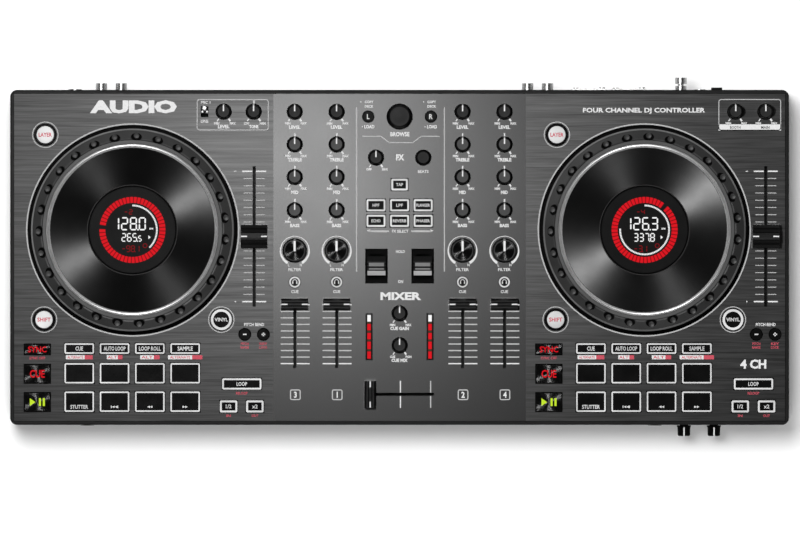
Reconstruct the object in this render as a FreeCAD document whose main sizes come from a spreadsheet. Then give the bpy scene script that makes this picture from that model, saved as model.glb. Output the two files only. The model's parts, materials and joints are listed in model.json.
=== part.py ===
"""Four channel DJ controller: two jog wheel decks either side of a mixer.

Millimetres, +Z up, +X to the player's right, +Y to the rear.  The origin is on the table,
under the middle of the case.
"""
import FreeCAD, Part
import os
import re
import Sketcher

SHEET = "Dims"

DIMENSIONS = {
    # case
    "case_width": 554.5,
    "case_depth": 238.5,
    "corner_rad": 5.0,
    "wall_thick": 2.5,
    "floor_thick": 2.5,
    "foot_height": 4.0,
    "foot_rad": 11.0,
    "foot_across": 245.0,
    "foot_back": 95.0,
    "split_level": 11.0,
    "deck_level": 38.0,
    "deck_thick": 2.5,
    "panel_thick": 2.0,
    "panel_gap": 0.3,
    "rim_level": 40.4,
    "rim_width": 2.5,
    "rim_chamfer": 1.2,
    "floor_chamfer": 1.5,
    "foot_chamfer": 1.0,
    # screws and their posts
    "post_rad": 4.0,
    "post_inset": 7.0,
    "post_left": 134.0,
    "post_right": 119.5,
    "screw_sink": 0.1,
    "pilot_rad": 1.6,
    "pilot_depth": 16.0,
    "screw_rad": 1.5,
    "screw_length": 17.0,
    "head_rad": 2.9,
    "head_depth": 1.1,
    # circuit boards
    "board_level": 24.0,
    "board_thick": 1.6,
    "pillar_rad": 3.0,
    "pillar_back": 80.0,
    "pillar_front": 50.0,
    "board_back": -7.0,
    "side_board_x": 181.0,
    "side_board_w": 174.0,
    "side_board_h": 196.0,
    "mixer_board_y": 4.0,
    "mixer_board_w": 172.0,
    "mixer_board_h": 216.0,
    "small_board_y": 100.5,
    "small_board_h": 15.0,
    "mic_board_x": -122.0,
    "mic_board_w": 56.0,
    "output_board_x": 251.0,
    "output_board_w": 34.0,
    "switch_rad": 2.0,
    "switch_top": 35.2,
    # deck layout, measured from the jog wheel's axis
    "left_deck": -190.0,
    "right_deck": 174.2,
    "jog_back": 19.5,
    "deck_left": -84.7,
    "deck_right": 100.5,
    "mixer_half": 89.2,
    "well_rad": 74.8,
    "layer_x": -62.2,
    "layer_y": 67.8,
    "shift_x": -63.1,
    "shift_y": -63.8,
    "scratch_x": 63.1,
    "scratch_y": -63.8,
    "round_rad": 7.6,
    "bend_minus_x": 79.8,
    "bend_plus_x": 93.1,
    "bend_y": -74.3,
    "bend_rad": 4.2,
    "left_column_x": -67.9,
    "left_column_w": 18.6,
    "sync_y": -85.0,
    "sync_h": 7.6,
    "cue_y": -102.4,
    "play_y": -122.5,
    "play_h": 13.4,
    "pad_first_x": -38.0,
    "pad_pitch": 25.13,
    "pad_w": 21.1,
    "pad_h": 14.5,
    "pad_upper_y": -102.0,
    "pad_lower_y": -122.2,
    "mode_y": -84.4,
    "mode_h": 7.5,
    "loop_x": 77.7,
    "loop_y": -109.6,
    "loop_w": 28.0,
    "loop_h": 8.0,
    "half_x": 68.3,
    "double_x": 87.0,
    "half_y": -125.6,
    "half_w": 12.5,
    "half_h": 8.6,
    "pitch_x": 86.5,
    "pitch_y": -4.6,
    "pitch_travel": 46.5,
    "toggle_x": 51.2,
    "top_knob_y": 84.2,
    "first_knob_x": 64.8,
    "second_knob_x": 86.2,
    # mixer layout, measured from the middle of the case
    "strip_outer": 74.6,
    "strip_inner": 44.8,
    "level_y": 103.6,
    "treble_y": 80.4,
    "mid_y": 57.2,
    "bass_y": 33.6,
    "filter_y": 4.9,
    "channel_cue_y": -17.6,
    "channel_cue_rad": 3.9,
    "fader_top_y": -33.4,
    "fader_travel": 42.0,
    "cross_y": -97.5,
    "cross_x": -20.9,
    "meter_x": 21.7,
    "meter_y": -56.5,
    "meter_w": 4.6,
    "meter_h": 32.9,
    "gain_y": -39.8,
    "blend_y": -62.5,
    "browse_y": 100.2,
    "load_x": 22.3,
    "load_rad": 4.0,
    "effect_x": 16.8,
    "effect_knob_y": 71.0,
    "tap_y": 51.8,
    "tap_w": 11.8,
    "tap_h": 8.4,
    "effect_upper_y": 37.1,
    "effect_lower_y": 26.0,
    "effect_w": 13.5,
    "effect_h": 8.6,
    "paddle_x": 16.45,
    "paddle_y": -6.2,
    "well_w": 16.1,
    "well_h": 24.8,
    # button caps
    "cap_bottom": 36.2,
    "cap_top": 41.8,
    "cap_edge": 0.4,
    "cap_gap": 0.45,
    "round_window_gap": 1.4,
    "hub_window_rad": 12.0,
    # jog wheel
    "jog_bottom": 39.0,
    "jog_inner": 31.6,
    "disc_rad": 58.5,
    "trim_rad": 61.3,
    "dimple_in": 64.3,
    "dimple_out": 70.9,
    "jog_rad": 71.9,
    "skirt_level": 49.6,
    "disc_level": 52.4,
    "trim_level": 53.1,
    "ring_level": 52.2,
    "shell_thick": 2.4,
    "dimple_sphere": 6.6,
    "dimple_level": 57.6,
    "dimple_turn": 2.5,
    "dimple_count": 27,
    "dimple_pitch": 67.2,
    "display_rad": 31.0,
    "display_level": 51.7,
    "display_chamfer": 0.5,
    "meter_proud": 0.2,
    "meter_gap": 0.2,
    # rotary knobs
    "knob_clear": 0.6,
    "knob_skirt": 1.0,
    "knob_edge": 0.7,
    "knob_rad": 5.8,
    "knob_grip": 4.5,
    "knob_height": 13.0,
    "filter_rad": 8.75,
    "filter_grip": 7.3,
    "filter_height": 15.0,
    "browse_rad": 9.3,
    "browse_grip": 7.4,
    "browse_height": 15.0,
    "front_rad": 5.0,
    "front_grip": 4.4,
    "front_height": 7.6,
    "front_level": 17.0,
    "front_first_x": 202.9,
    "front_second_x": 224.3,
    "flute_rad": 0.7,
    "flute_count": 20,
    "shaft_rad": 3.0,
    "shaft_hole": 3.6,
    "shaft_length": 10.0,
    "pot_size": 10.0,
    "pot_top": 32.0,
    "pot_bore": 3.4,
    "pot_bore_depth": 4.0,
    "front_pot_inset": 7.0,
    # faders
    "slider_clear": 1.6,
    "slider_w": 19.0,
    "slider_h": 8.2,
    "slider_height": 10.5,
    "pitch_w": 18.9,
    "pitch_h": 16.4,
    "slot_w": 2.2,
    "stem_w": 1.1,
    "stem_h": 4.0,
    "stem_length": 10.8,
    "track_top": 33.0,
    "track_w": 9.0,
    "track_wall": 3.2,
    "track_depth": 4.0,
    "track_end": 6.0,
    "pitch_track_end": 8.0,
    "slot_end": 1.5,
    # effect paddles
    "paddle_w": 13.0,
    "neck_w": 8.0,
    "neck_h": 5.2,
    "neck_middle": 6.0,
    "neck_length": 10.0,
    "paddle_pin_rad": 2.4,
    "paddle_pivot": 32.0,
    # small toggle
    "toggle_pivot": 35.0,
    "toggle_pin_rad": 1.7,
    "toggle_pin_w": 4.2,
    "toggle_rad": 1.5,
    "toggle_height": 12.5,
    "toggle_tilt": -12.0,
    "toggle_hole_w": 5.4,
    "toggle_hole_h": 7.8,
    # sockets in the rear and front walls
    "socket_level": 24.0,
    "jack_rad": 4.9,
    "jack_bore": 3.25,
    "jack_length": 24.0,
    "jack_proud": 0.7,
    "jack_end": 2.0,
    "mic_one_x": -231.3,
    "headphone_x": -222.9,
    "small_jack_x": -208.0,
    "small_jack_rad": 3.2,
    "small_jack_bore": 1.8,
    "small_jack_length": 16.0,
    "small_jack_proud": 0.1,
    "mic_two_x": 182.1,
    "phono_rad": 4.15,
    "phono_bore": 1.7,
    "phono_proud": 4.9,
    "phono_length": 18.0,
    "phono_base": 5.0,
    "phono_depth": 10.9,
    "barrel_gap": 0.2,
    "phono_pitch": 14.2,
    "left_phono_x": -205.5,
    "right_phono_x": 98.4,
    "xlr_first_x": 135.1,
    "xlr_second_x": 163.5,
    "xlr_rad": 11.0,
    "xlr_bore": 8.6,
    "xlr_length": 24.0,
    "xlr_proud": 1.0,
    "xlr_plate_w": 24.6,
    "xlr_plate_h": 26.0,
    "xlr_screw_x": 9.2,
    "xlr_screw_y": 10.2,
    "xlr_screw_rad": 2.2,
    "xlr_screw_proud": 0.9,
    "pin_rad": 1.2,
    "pin_circle": 4.2,
    "pin_set_back": 6.5,
    "ground_x": 200.6,
    "ground_rad": 4.25,
    "ground_proud": 8.9,
    "ground_depth": 5.0,
    "ground_base": 3.0,
    "ground_neck": 1.5,
    "ground_neck_rad": 2.25,
    "usb_x": 185.8,
    "usb_w": 12.0,
    "usb_h": 11.0,
    "usb_hole_w": 8.5,
    "usb_hole_h": 7.8,
    "usb_length": 16.0,
    "usb_proud": 0.2,
    "usb_back": 3.0,
    "inlet_x": 214.1,
    "inlet_rad": 4.1,
    "inlet_bore": 2.9,
    "inlet_proud": 0.5,
    "inlet_length": 12.0,
    "inlet_pin_rad": 1.0,
    "inlet_pin_length": 11.0,
    "power_x": 226.1,
    "power_size": 7.7,
    "power_proud": 1.8,
    "power_length": 12.0,
    "lock_x": 247.0,
    "lock_w": 7.0,
    "lock_h": 3.0,
}

# Deck controls.  Each rectangle is (x, y, width, height) and each circle is (x, y, radius).
PAD_COLUMNS = [f"pad_first_x + {column} * pad_pitch" for column in range(4)]
DECK_PADS = [(x, y, "pad_w", "pad_h") for y in ("pad_upper_y", "pad_lower_y") for x in PAD_COLUMNS]
DECK_MODES = [(x, "mode_y", "pad_w", "mode_h") for x in PAD_COLUMNS]
DECK_KEYS = [
    ("left_column_x", "sync_y", "left_column_w", "sync_h"),
    ("left_column_x", "cue_y", "left_column_w", "play_h"),
    ("left_column_x", "play_y", "left_column_w", "play_h"),
    ("loop_x", "loop_y", "loop_w", "loop_h"),
    ("half_x", "half_y", "half_w", "half_h"),
    ("double_x", "half_y", "half_w", "half_h"),
]
DECK_ROUND_KEYS = [
    ("layer_x", "layer_y", "round_rad"),
    ("shift_x", "shift_y", "round_rad"),
    ("scratch_x", "scratch_y", "round_rad"),
    ("bend_minus_x", "bend_y", "bend_rad"),
    ("bend_plus_x", "bend_y", "bend_rad"),
]
DECK_KNOBS = ("first_knob_x", "second_knob_x")
# Openings in the case under a deck panel: knobs, pitch fader, then all the keys and pads.
DECK_WINDOWS = [
    ("69", "top_knob_y", "54", "9"),
    ("pitch_x", "pitch_y", "13", "116"),
    ("9.8", "-99.2", "177.5", "61.4"),
]

# Mixer controls.
STRIPS = {"channel_3": "-strip_outer", "channel_1": "-strip_inner",
          "channel_2": "strip_inner", "channel_4": "strip_outer"}
STRIP_KNOBS = {"level": "level_y", "treble": "treble_y", "mid": "mid_y", "bass": "bass_y"}
SIDES = ("-1", "1")
EFFECT_COLUMNS = ("-effect_x", "0", "effect_x")
MIXER_KEYS = [("0", "tap_y", "tap_w", "tap_h")] + [
    (x, y, "effect_w", "effect_h") for y in ("effect_upper_y", "effect_lower_y") for x in EFFECT_COLUMNS]
MIXER_ROUND_KEYS = [(f"{side} * load_x", "browse_y", "load_rad") for side in SIDES] + [
    (x, "channel_cue_y", "channel_cue_rad") for x in STRIPS.values()]
MIXER_KNOBS = [(x, y) for x in STRIPS.values() for y in (*STRIP_KNOBS.values(), "filter_y")] + [
    ("0", "gain_y"), ("0", "blend_y"), ("0", "browse_y"),
    ("-effect_x", "effect_knob_y"), ("effect_x", "effect_knob_y")]
# Openings in the case under the mixer panel, a few millimetres clear of what comes through them.
MIXER_WINDOWS = [
    (f"{side} * (strip_outer + strip_inner) / 2", "44", "48", "133") for side in SIDES] + [
    (f"{side} * meter_x", "meter_y", "7", "36") for side in SIDES] + [
    (f"{side} * paddle_x", "paddle_y", "9", "17") for side in SIDES] + [
    (x, "fader_top_y - fader_travel / 2", "12", "fader_travel + 14") for x in STRIPS.values()] + [
    ("0", "61", "56", "100"),
    ("0", "(gain_y + blend_y) / 2", "24", "40"),
    ("0", "cross_y", "fader_travel + 14", "12"),
]

POST_COLUMNS = ("-(case_width / 2 - post_inset)", "-post_left", "post_right", "case_width / 2 - post_inset")
POSTS = [(x, f"{y} * (case_depth / 2 - post_inset)") for x in POST_COLUMNS for y in SIDES]
FADER_SLOT_LENGTH = "fader_travel + stem_h + 2 * slot_end"
PILLAR_COLUMNS = ("-245", "-110", "-60", "60", "110", "245")
BOARDS = [
    ("0", "mixer_board_y", "mixer_board_w", "mixer_board_h"),
    ("-side_board_x", "board_back", "side_board_w", "side_board_h"),
    ("side_board_x", "board_back", "side_board_w", "side_board_h"),
    ("mic_board_x", "small_board_y", "mic_board_w", "small_board_h"),
    ("output_board_x", "small_board_y", "output_board_w", "small_board_h"),
]

# Side view of an effect paddle from its pivot: a lip at the front, three ridges, a slope at the back.
PADDLE_SIDE = [
    ("-6.7", "10.8"), ("6.9", "10.8"), ("6.9", "14.6"), ("3.4", "17.4"), ("2.2", "17.4"),
    ("1.5", "16.8"), ("0.8", "17.3"), ("-0.2", "17.3"), ("-0.9", "16.7"), ("-1.6", "17.2"),
    ("-2.6", "17.2"), ("-3.4", "17.8"), ("-6.7", "13.6"),
]


def at_posts(radius):
    return [(x, y, radius) for x, y in POSTS]


def in_sheet(expression):
    """Point every alias in an expression at the sheet; each alias has an underscore in it."""
    return re.sub(r"\b([a-z]+_\w+)\b", SHEET + r".\1", str(expression))


def bind(thing, **expressions):
    """Bind properties to the sheet; a double underscore stands for a dot."""
    for path, expression in expressions.items():
        thing.setExpression(path.replace("__", "."), in_sheet(expression))


def place(thing, x="0", y="0", z="0"):
    bind(thing, Placement__Base__x=x, Placement__Base__y=y, Placement__Base__z=z)


def make_sheet(doc):
    sheet = doc.addObject("Spreadsheet::Sheet", SHEET)
    for row, (alias, value) in enumerate(DIMENSIONS.items(), start=1):
        sheet.set(f"A{row}", alias)
        sheet.set(f"B{row}", str(value))
        sheet.setAlias(f"B{row}", alias)
    doc.recompute()


def origin_of(body, role):
    """One of the planes or axes that every body has at its own origin."""
    return [datum for datum in body.Origin.OriginFeatures if datum.Role == role][0]


class Drawing:
    """A sketch on one of a body's origin planes, with every corner tied to the sheet."""

    def __init__(self, body, plane="XY_Plane", offset="0"):
        self.sketch = body.newObject("Sketcher::SketchObject", body.Label + "_sketch")
        self.sketch.AttachmentSupport = [(origin_of(body, plane), "")]
        self.sketch.MapMode = "FlatFace"
        bind(self.sketch, AttachmentOffset__Base__z=offset)
        self.geometry = []
        self.constraints = []
        self.values = {}

    def constrain(self, expression, *arguments):
        if expression is not None:
            self.values[len(self.constraints)] = expression
        self.constraints.append(Sketcher.Constraint(*arguments))

    def pin(self, item, point, x, y):
        """Hold a point at (x, y): on an axis for a plain 0, else at a signed distance."""
        for kind, value, axis in (("DistanceX", x, -2), ("DistanceY", y, -1)):
            if value == "0":
                self.constrain(None, "PointOnObject", item, point, axis)
            else:
                self.constrain(value, kind, -1, 1, item, point, 1.0)

    def polygon(self, corners):
        first = len(self.geometry)
        count = len(corners)
        rough = [FreeCAD.Vector(5 + number, number * number, 0) for number in range(count)]
        for number, (x, y) in enumerate(corners):
            following = (number + 1) % count
            self.geometry.append(Part.LineSegment(rough[number], rough[following]))
            self.constrain(None, "Coincident", first + number, 2, first + following, 1)
            self.pin(first + number, 1, x, y)
        return self

    def rectangle(self, x, y, width, height):
        left = f"({x}) - ({width}) / 2"
        right = f"({x}) + ({width}) / 2"
        front = f"({y}) - ({height}) / 2"
        rear = f"({y}) + ({height}) / 2"
        return self.polygon([(left, front), (right, front), (right, rear), (left, rear)])

    def circle(self, x, y, radius):
        item = len(self.geometry)
        self.geometry.append(Part.Circle(FreeCAD.Vector(item, 1, 0), FreeCAD.Vector(0, 0, 1), 1.0))
        self.pin(item, 3, x, y)
        self.constrain(radius, "Radius", item, 1.0)
        return self

    def rectangles(self, items, gap="0"):
        for x, y, width, height in items:
            self.rectangle(x, y, f"{width} + 2 * {gap}", f"{height} + 2 * {gap}")
        return self

    def circles(self, items, gap="0"):
        for x, y, radius in items:
            self.circle(x, y, f"{radius} + {gap}")
        return self

    def finish(self):
        self.sketch.addGeometry(self.geometry, False)
        self.sketch.addConstraint(self.constraints)
        for index, expression in self.values.items():
            self.sketch.setExpression(f"Constraints[{index}]", in_sheet(expression))
        return self.sketch


def new_body(doc, label):
    body = doc.addObject("PartDesign::Body", label)
    body.Label = label
    body.AllowCompound = True
    return body


def feature(body, kind, drawing, **expressions):
    """Add a Pad, Pocket or Revolution made from a drawing."""
    made = body.newObject("PartDesign::" + kind, f"{body.Label}_{kind.lower()}")
    made.Profile = drawing.finish()
    bind(made, **expressions)
    return made


def pad(body, drawing, length):
    return feature(body, "Pad", drawing, Length=length)


def pocket(body, drawing, length, upward=False):
    made = feature(body, "Pocket", drawing, Length=length)
    made.Reversed = upward
    return made


def pad_across(body, drawing, length):
    """Pad equally to both sides of the sketch."""
    made = pad(body, drawing, length)
    made.SideType = "Symmetric"
    return made


def pocket_through(body, drawing, length):
    """Cut equally to both sides of the sketch."""
    made = pocket(body, drawing, length)
    made.SideType = "Symmetric"
    return made


def revolve(body, drawing):
    made = feature(body, "Revolution", drawing)
    made.ReferenceAxis = (made.Profile[0], ["V_Axis"])
    made.Angle = 360
    return made


def dress(body, kind, size, wanted):
    """Chamfer or fillet the edges of the body so far that the test picks."""
    body.Document.recompute()
    edges = body.Tip.Shape.Edges
    names = [f"Edge{number}" for number, edge in enumerate(edges, start=1) if wanted(edge)]
    base = body.Tip
    made = body.newObject("PartDesign::" + kind, f"{body.Label}_{kind.lower()}")
    made.Base = (base, names)
    property_name = "Radius" if kind == "Fillet" else "Size"
    made.setExpression(property_name, in_sheet(size))
    return made


def upright(edge):
    return edge.BoundBox.ZLength > 1 and edge.BoundBox.XLength + edge.BoundBox.YLength < 1e-6


def at_level(level):
    return lambda edge: abs(edge.BoundBox.ZMin - level) < 1e-6 and abs(edge.BoundBox.ZMax - level) < 1e-6


def on_outside(level):
    """Edges at a level that lie on the case's outer outline."""
    level_test = at_level(level)
    half_width = DIMENSIONS["case_width"] / 2
    half_depth = DIMENSIONS["case_depth"] / 2

    def test(edge):
        box = edge.BoundBox
        at_side = max(abs(box.XMin), abs(box.XMax)) > half_width - 1e-3
        at_end = max(abs(box.YMin), abs(box.YMax)) > half_depth - 1e-3
        return level_test(edge) and (at_side or at_end)
    return test


def build_bottom_case(doc):
    body = new_body(doc, "bottom_case")
    outline = Drawing(body, offset="foot_height").rectangle("0", "0", "case_width", "case_depth")
    pad(body, outline, "split_level - foot_height")
    dress(body, "Fillet", "corner_rad", upright)
    inside = Drawing(body, offset="split_level")
    inside.rectangle("0", "0", "case_width - 2 * wall_thick", "case_depth - 2 * wall_thick")
    pocket(body, inside, "split_level - foot_height - floor_thick")
    pillars = Drawing(body, offset="foot_height + floor_thick")
    for x in PILLAR_COLUMNS:
        for y in ("pillar_back", "-pillar_front"):
            pillars.circle(x, y, "pillar_rad")
    pad(body, pillars, "board_level - foot_height - floor_thick")
    holes = Drawing(body, offset="foot_height").circles(at_posts("pilot_rad + screw_sink"))
    pocket(body, holes, "floor_thick", upward=True)
    sinks = Drawing(body, offset="foot_height").circles(at_posts("head_rad + 3 * screw_sink"))
    pocket(body, sinks, "head_depth + screw_sink", upward=True)
    dress(body, "Chamfer", "floor_chamfer", on_outside(DIMENSIONS["foot_height"]))
    return body


def wall_drawing(body, side):
    """A drawing on the front (-1) or rear (1) wall; the XZ plane faces -Y."""
    return Drawing(body, "XZ_Plane", offset=f"{-side} * (case_depth / 2 - wall_thick / 2)")


def build_top_case(doc):
    body = new_body(doc, "top_case")
    outline = Drawing(body, offset="split_level").rectangle("0", "0", "case_width", "case_depth")
    pad(body, outline, "rim_level - split_level")
    dress(body, "Fillet", "corner_rad", upright)
    inside = Drawing(body, offset="split_level")
    inside.rectangle("0", "0", "case_width - 2 * wall_thick", "case_depth - 2 * wall_thick")
    pocket(body, inside, "deck_level - deck_thick - split_level", upward=True)
    recess = Drawing(body, offset="rim_level")
    recess.rectangle("0", "0", "case_width - 2 * rim_width", "case_depth - 2 * rim_width")
    pocket(body, recess, "rim_level - deck_level")
    windows = Drawing(body, offset="deck_level").rectangles(MIXER_WINDOWS)
    for deck in ("left_deck", "right_deck"):
        shifted = [(f"{deck} + {x}", f"jog_back + {y}", w, h) for x, y, w, h in DECK_WINDOWS]
        windows.rectangles(shifted)
        windows.circle(deck, "jog_back", "hub_window_rad")
    pocket(body, windows, "deck_thick")
    round_windows = Drawing(body, offset="deck_level")
    for deck in ("left_deck", "right_deck"):
        shifted = [(f"{deck} + {x}", f"jog_back + {y}", r) for x, y, r in DECK_ROUND_KEYS[:3]]
        round_windows.circles(shifted, gap="round_window_gap")
    pocket(body, round_windows, "deck_thick")
    posts = Drawing(body, offset="foot_height + floor_thick").circles(at_posts("post_rad"))
    pad(body, posts, "deck_level - deck_thick - foot_height - floor_thick")
    pilots = Drawing(body, offset="foot_height + floor_thick").circles(at_posts("pilot_rad"))
    pocket(body, pilots, "pilot_depth", upward=True)
    pocket_through(body, rear_holes(body), "2 * wall_thick")
    pocket_through(body, front_holes(body), "2 * wall_thick")
    dress(body, "Chamfer", "rim_chamfer", on_outside(DIMENSIONS["rim_level"]))
    return body


def rear_holes(body):
    holes = wall_drawing(body, 1)
    holes.circle("mic_one_x", "socket_level", "jack_rad + barrel_gap")
    for pair in ("left_phono_x", "right_phono_x"):
        for side in SIDES:
            holes.circle(f"{pair} + {side} * phono_pitch / 2", "socket_level", "phono_base + barrel_gap")
    for x in ("xlr_first_x", "xlr_second_x"):
        holes.circle(x, "socket_level", "xlr_rad + barrel_gap")
    holes.circle("ground_x", "socket_level", "ground_rad")
    holes.circle("inlet_x", "socket_level", "inlet_rad + barrel_gap")
    holes.rectangle("usb_x", "socket_level", "usb_w + 2 * barrel_gap", "usb_h + 2 * barrel_gap")
    holes.rectangle("power_x", "socket_level", "power_size + 2 * cap_gap", "power_size + 2 * cap_gap")
    holes.rectangle("lock_x", "socket_level", "lock_w", "lock_h")
    return holes


def front_holes(body):
    holes = wall_drawing(body, -1)
    holes.circle("headphone_x", "front_level", "jack_rad + barrel_gap")
    holes.circle("small_jack_x", "front_level", "small_jack_rad + barrel_gap")
    holes.circle("mic_two_x", "front_level", "jack_rad + barrel_gap")
    for x in ("front_first_x", "front_second_x"):
        holes.circle(x, "front_level", "shaft_hole")
    return holes


def build_deck_panel(doc, label, deck, with_toggle):
    """Face panel of one deck, drawn from its jog wheel's axis."""
    body = new_body(doc, label)
    width = "deck_right - deck_left - 2 * panel_gap"
    depth = "case_depth - 2 * rim_width - 2 * panel_gap"
    outline = Drawing(body, offset="deck_level")
    outline.rectangle("(deck_left + deck_right) / 2", "-jog_back", width, depth)
    pad(body, outline, "panel_thick")
    holes = Drawing(body, offset="deck_level + panel_thick")
    holes.circle("0", "0", "well_rad")
    holes.rectangles(DECK_PADS + DECK_MODES + DECK_KEYS, gap="cap_gap")
    holes.circles(DECK_ROUND_KEYS, gap="cap_gap")
    holes.circles([(x, "top_knob_y", "shaft_hole") for x in DECK_KNOBS])
    holes.rectangle("pitch_x", "pitch_y", "slot_w", "2 * pitch_travel + stem_h + 2 * slot_end")
    if with_toggle:
        holes.rectangle("toggle_x", "top_knob_y", "toggle_hole_w", "toggle_hole_h")
    pocket(body, holes, "panel_thick")
    place(body, deck, "jog_back")
    return body


def build_mixer_panel(doc):
    body = new_body(doc, "mixer_panel")
    outline = Drawing(body, offset="deck_level")
    depth = "case_depth - 2 * rim_width - 2 * panel_gap"
    outline.rectangle("0", "0", "2 * mixer_half - 2 * panel_gap", depth)
    pad(body, outline, "panel_thick")
    holes = Drawing(body, offset="deck_level + panel_thick")
    holes.rectangles(MIXER_KEYS, gap="cap_gap")
    holes.circles(MIXER_ROUND_KEYS, gap="cap_gap")
    holes.circles([(x, y, "shaft_hole") for x, y in MIXER_KNOBS])
    for side in SIDES:
        holes.rectangle(f"{side} * paddle_x", "paddle_y", "well_w", "well_h")
        holes.rectangle(f"{side} * meter_x", "meter_y",
                        "meter_w + 2 * meter_gap", "meter_h + 2 * meter_gap")
    for x in STRIPS.values():
        holes.rectangle(x, "fader_top_y - fader_travel / 2", "slot_w", FADER_SLOT_LENGTH)
    holes.rectangle("0", "cross_y", FADER_SLOT_LENGTH, "slot_w")
    pocket(body, holes, "panel_thick")
    return body


def build_feet(doc):
    body = new_body(doc, "rubber_feet")
    feet = Drawing(body).circle("0", "0", "foot_rad")
    for x in SIDES:
        for y in SIDES:
            feet.circle(f"{x} * foot_across", f"{y} * foot_back", "foot_rad")
    pad(body, feet, "foot_height")
    dress(body, "Chamfer", "foot_chamfer", at_level(0))
    return body


def build_screws(doc):
    body = new_body(doc, "case_screws")
    heads = Drawing(body, offset="foot_height + screw_sink").circles(at_posts("head_rad"))
    pad(body, heads, "head_depth")
    shanks = Drawing(body, offset="foot_height + screw_sink").circles(at_posts("screw_rad"))
    pad(body, shanks, "screw_length")
    return body


def build_circuit_boards(doc):
    """Boards behind the decks and mixer, with a push switch under each button cap."""
    body = new_body(doc, "circuit_boards")
    pad(body, Drawing(body, offset="board_level").rectangles(BOARDS), "board_thick")
    switches = Drawing(body, offset="board_level + board_thick")
    for x, y, _, _ in MIXER_KEYS:
        switches.circle(x, y, "switch_rad")
    for x, y, _ in MIXER_ROUND_KEYS:
        switches.circle(x, y, "switch_rad")
    for deck in ("left_deck", "right_deck"):
        for x, y, *_ in DECK_PADS + DECK_MODES + DECK_KEYS + DECK_ROUND_KEYS:
            switches.circle(f"{deck} + {x}", f"jog_back + {y}", "switch_rad")
    pad(body, switches, "switch_top - board_level - board_thick")
    return body


def build_pots_and_faders(doc):
    """Rotary potentiometers and fader tracks that stand on the boards."""
    body = new_body(doc, "pots_and_faders")
    pots = MIXER_KNOBS + [(f"{deck} + {x}", "jog_back + top_knob_y")
                          for deck in ("left_deck", "right_deck") for x in DECK_KNOBS]
    tracks = [(x, "fader_top_y - fader_travel / 2", "track_w", "fader_travel + 2 * track_end")
              for x in STRIPS.values()]
    tracks.append(("0", "cross_y", "fader_travel + 2 * track_end", "track_w"))
    for deck in ("left_deck", "right_deck"):
        tracks.append((f"{deck} + pitch_x", "jog_back + pitch_y", "track_w",
                       "2 * (pitch_travel + pitch_track_end)"))
    housings = Drawing(body, offset="board_level + board_thick")
    housings.rectangles([(x, y, "pot_size", "pot_size") for x, y in pots])
    pad(body, housings, "pot_top - board_level - board_thick")
    rails = Drawing(body, offset="board_level + board_thick").rectangles(tracks)
    pad(body, rails, "track_top - board_level - board_thick")
    bores = Drawing(body, offset="pot_top").circles([(x, y, "pot_bore") for x, y in pots])
    pocket(body, bores, "pot_bore_depth")
    grooves = Drawing(body, offset="track_top")
    for x, y, width, height in tracks:
        grooves.rectangle(x, y, f"({width}) - 2 * track_wall", f"({height}) - 2 * track_wall")
    pocket(body, grooves, "track_depth")
    front = Drawing(body, offset="front_level - pot_size / 2")
    for x in ("front_first_x", "front_second_x"):
        front.rectangle(x, "-case_depth / 2 + wall_thick + front_pot_inset", "pot_size", "pot_size")
    pad(body, front, "pot_size")
    return body


def build_displays(doc):
    """The two jog wheel displays, still while the wheels turn, and the two level meters."""
    body = new_body(doc, "displays_and_meters")
    posts = Drawing(body, offset="deck_level")
    for deck in ("left_deck", "right_deck"):
        posts.circle(deck, "jog_back", "display_rad")
    pad(body, posts, "display_level - deck_level")
    dress(body, "Chamfer", "display_chamfer", at_level(DIMENSIONS["display_level"]))
    meters = Drawing(body, offset="board_level + board_thick")
    for side in SIDES:
        meters.rectangle(f"{side} * meter_x", "meter_y", "meter_w", "meter_h")
    pad(body, meters, "deck_level + panel_thick + meter_proud - board_level - board_thick")
    return body


def build_caps(doc, label, rectangles, circles, x, y):
    """A group of button caps; each cap is a separate solid."""
    body = new_body(doc, label)
    outlines = Drawing(body, offset="cap_bottom").rectangles(rectangles).circles(circles)
    pad(body, outlines, "cap_top - cap_bottom")
    dress(body, "Chamfer", "cap_edge", at_level(DIMENSIONS["cap_top"]))
    place(body, x, y)
    return body


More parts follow.
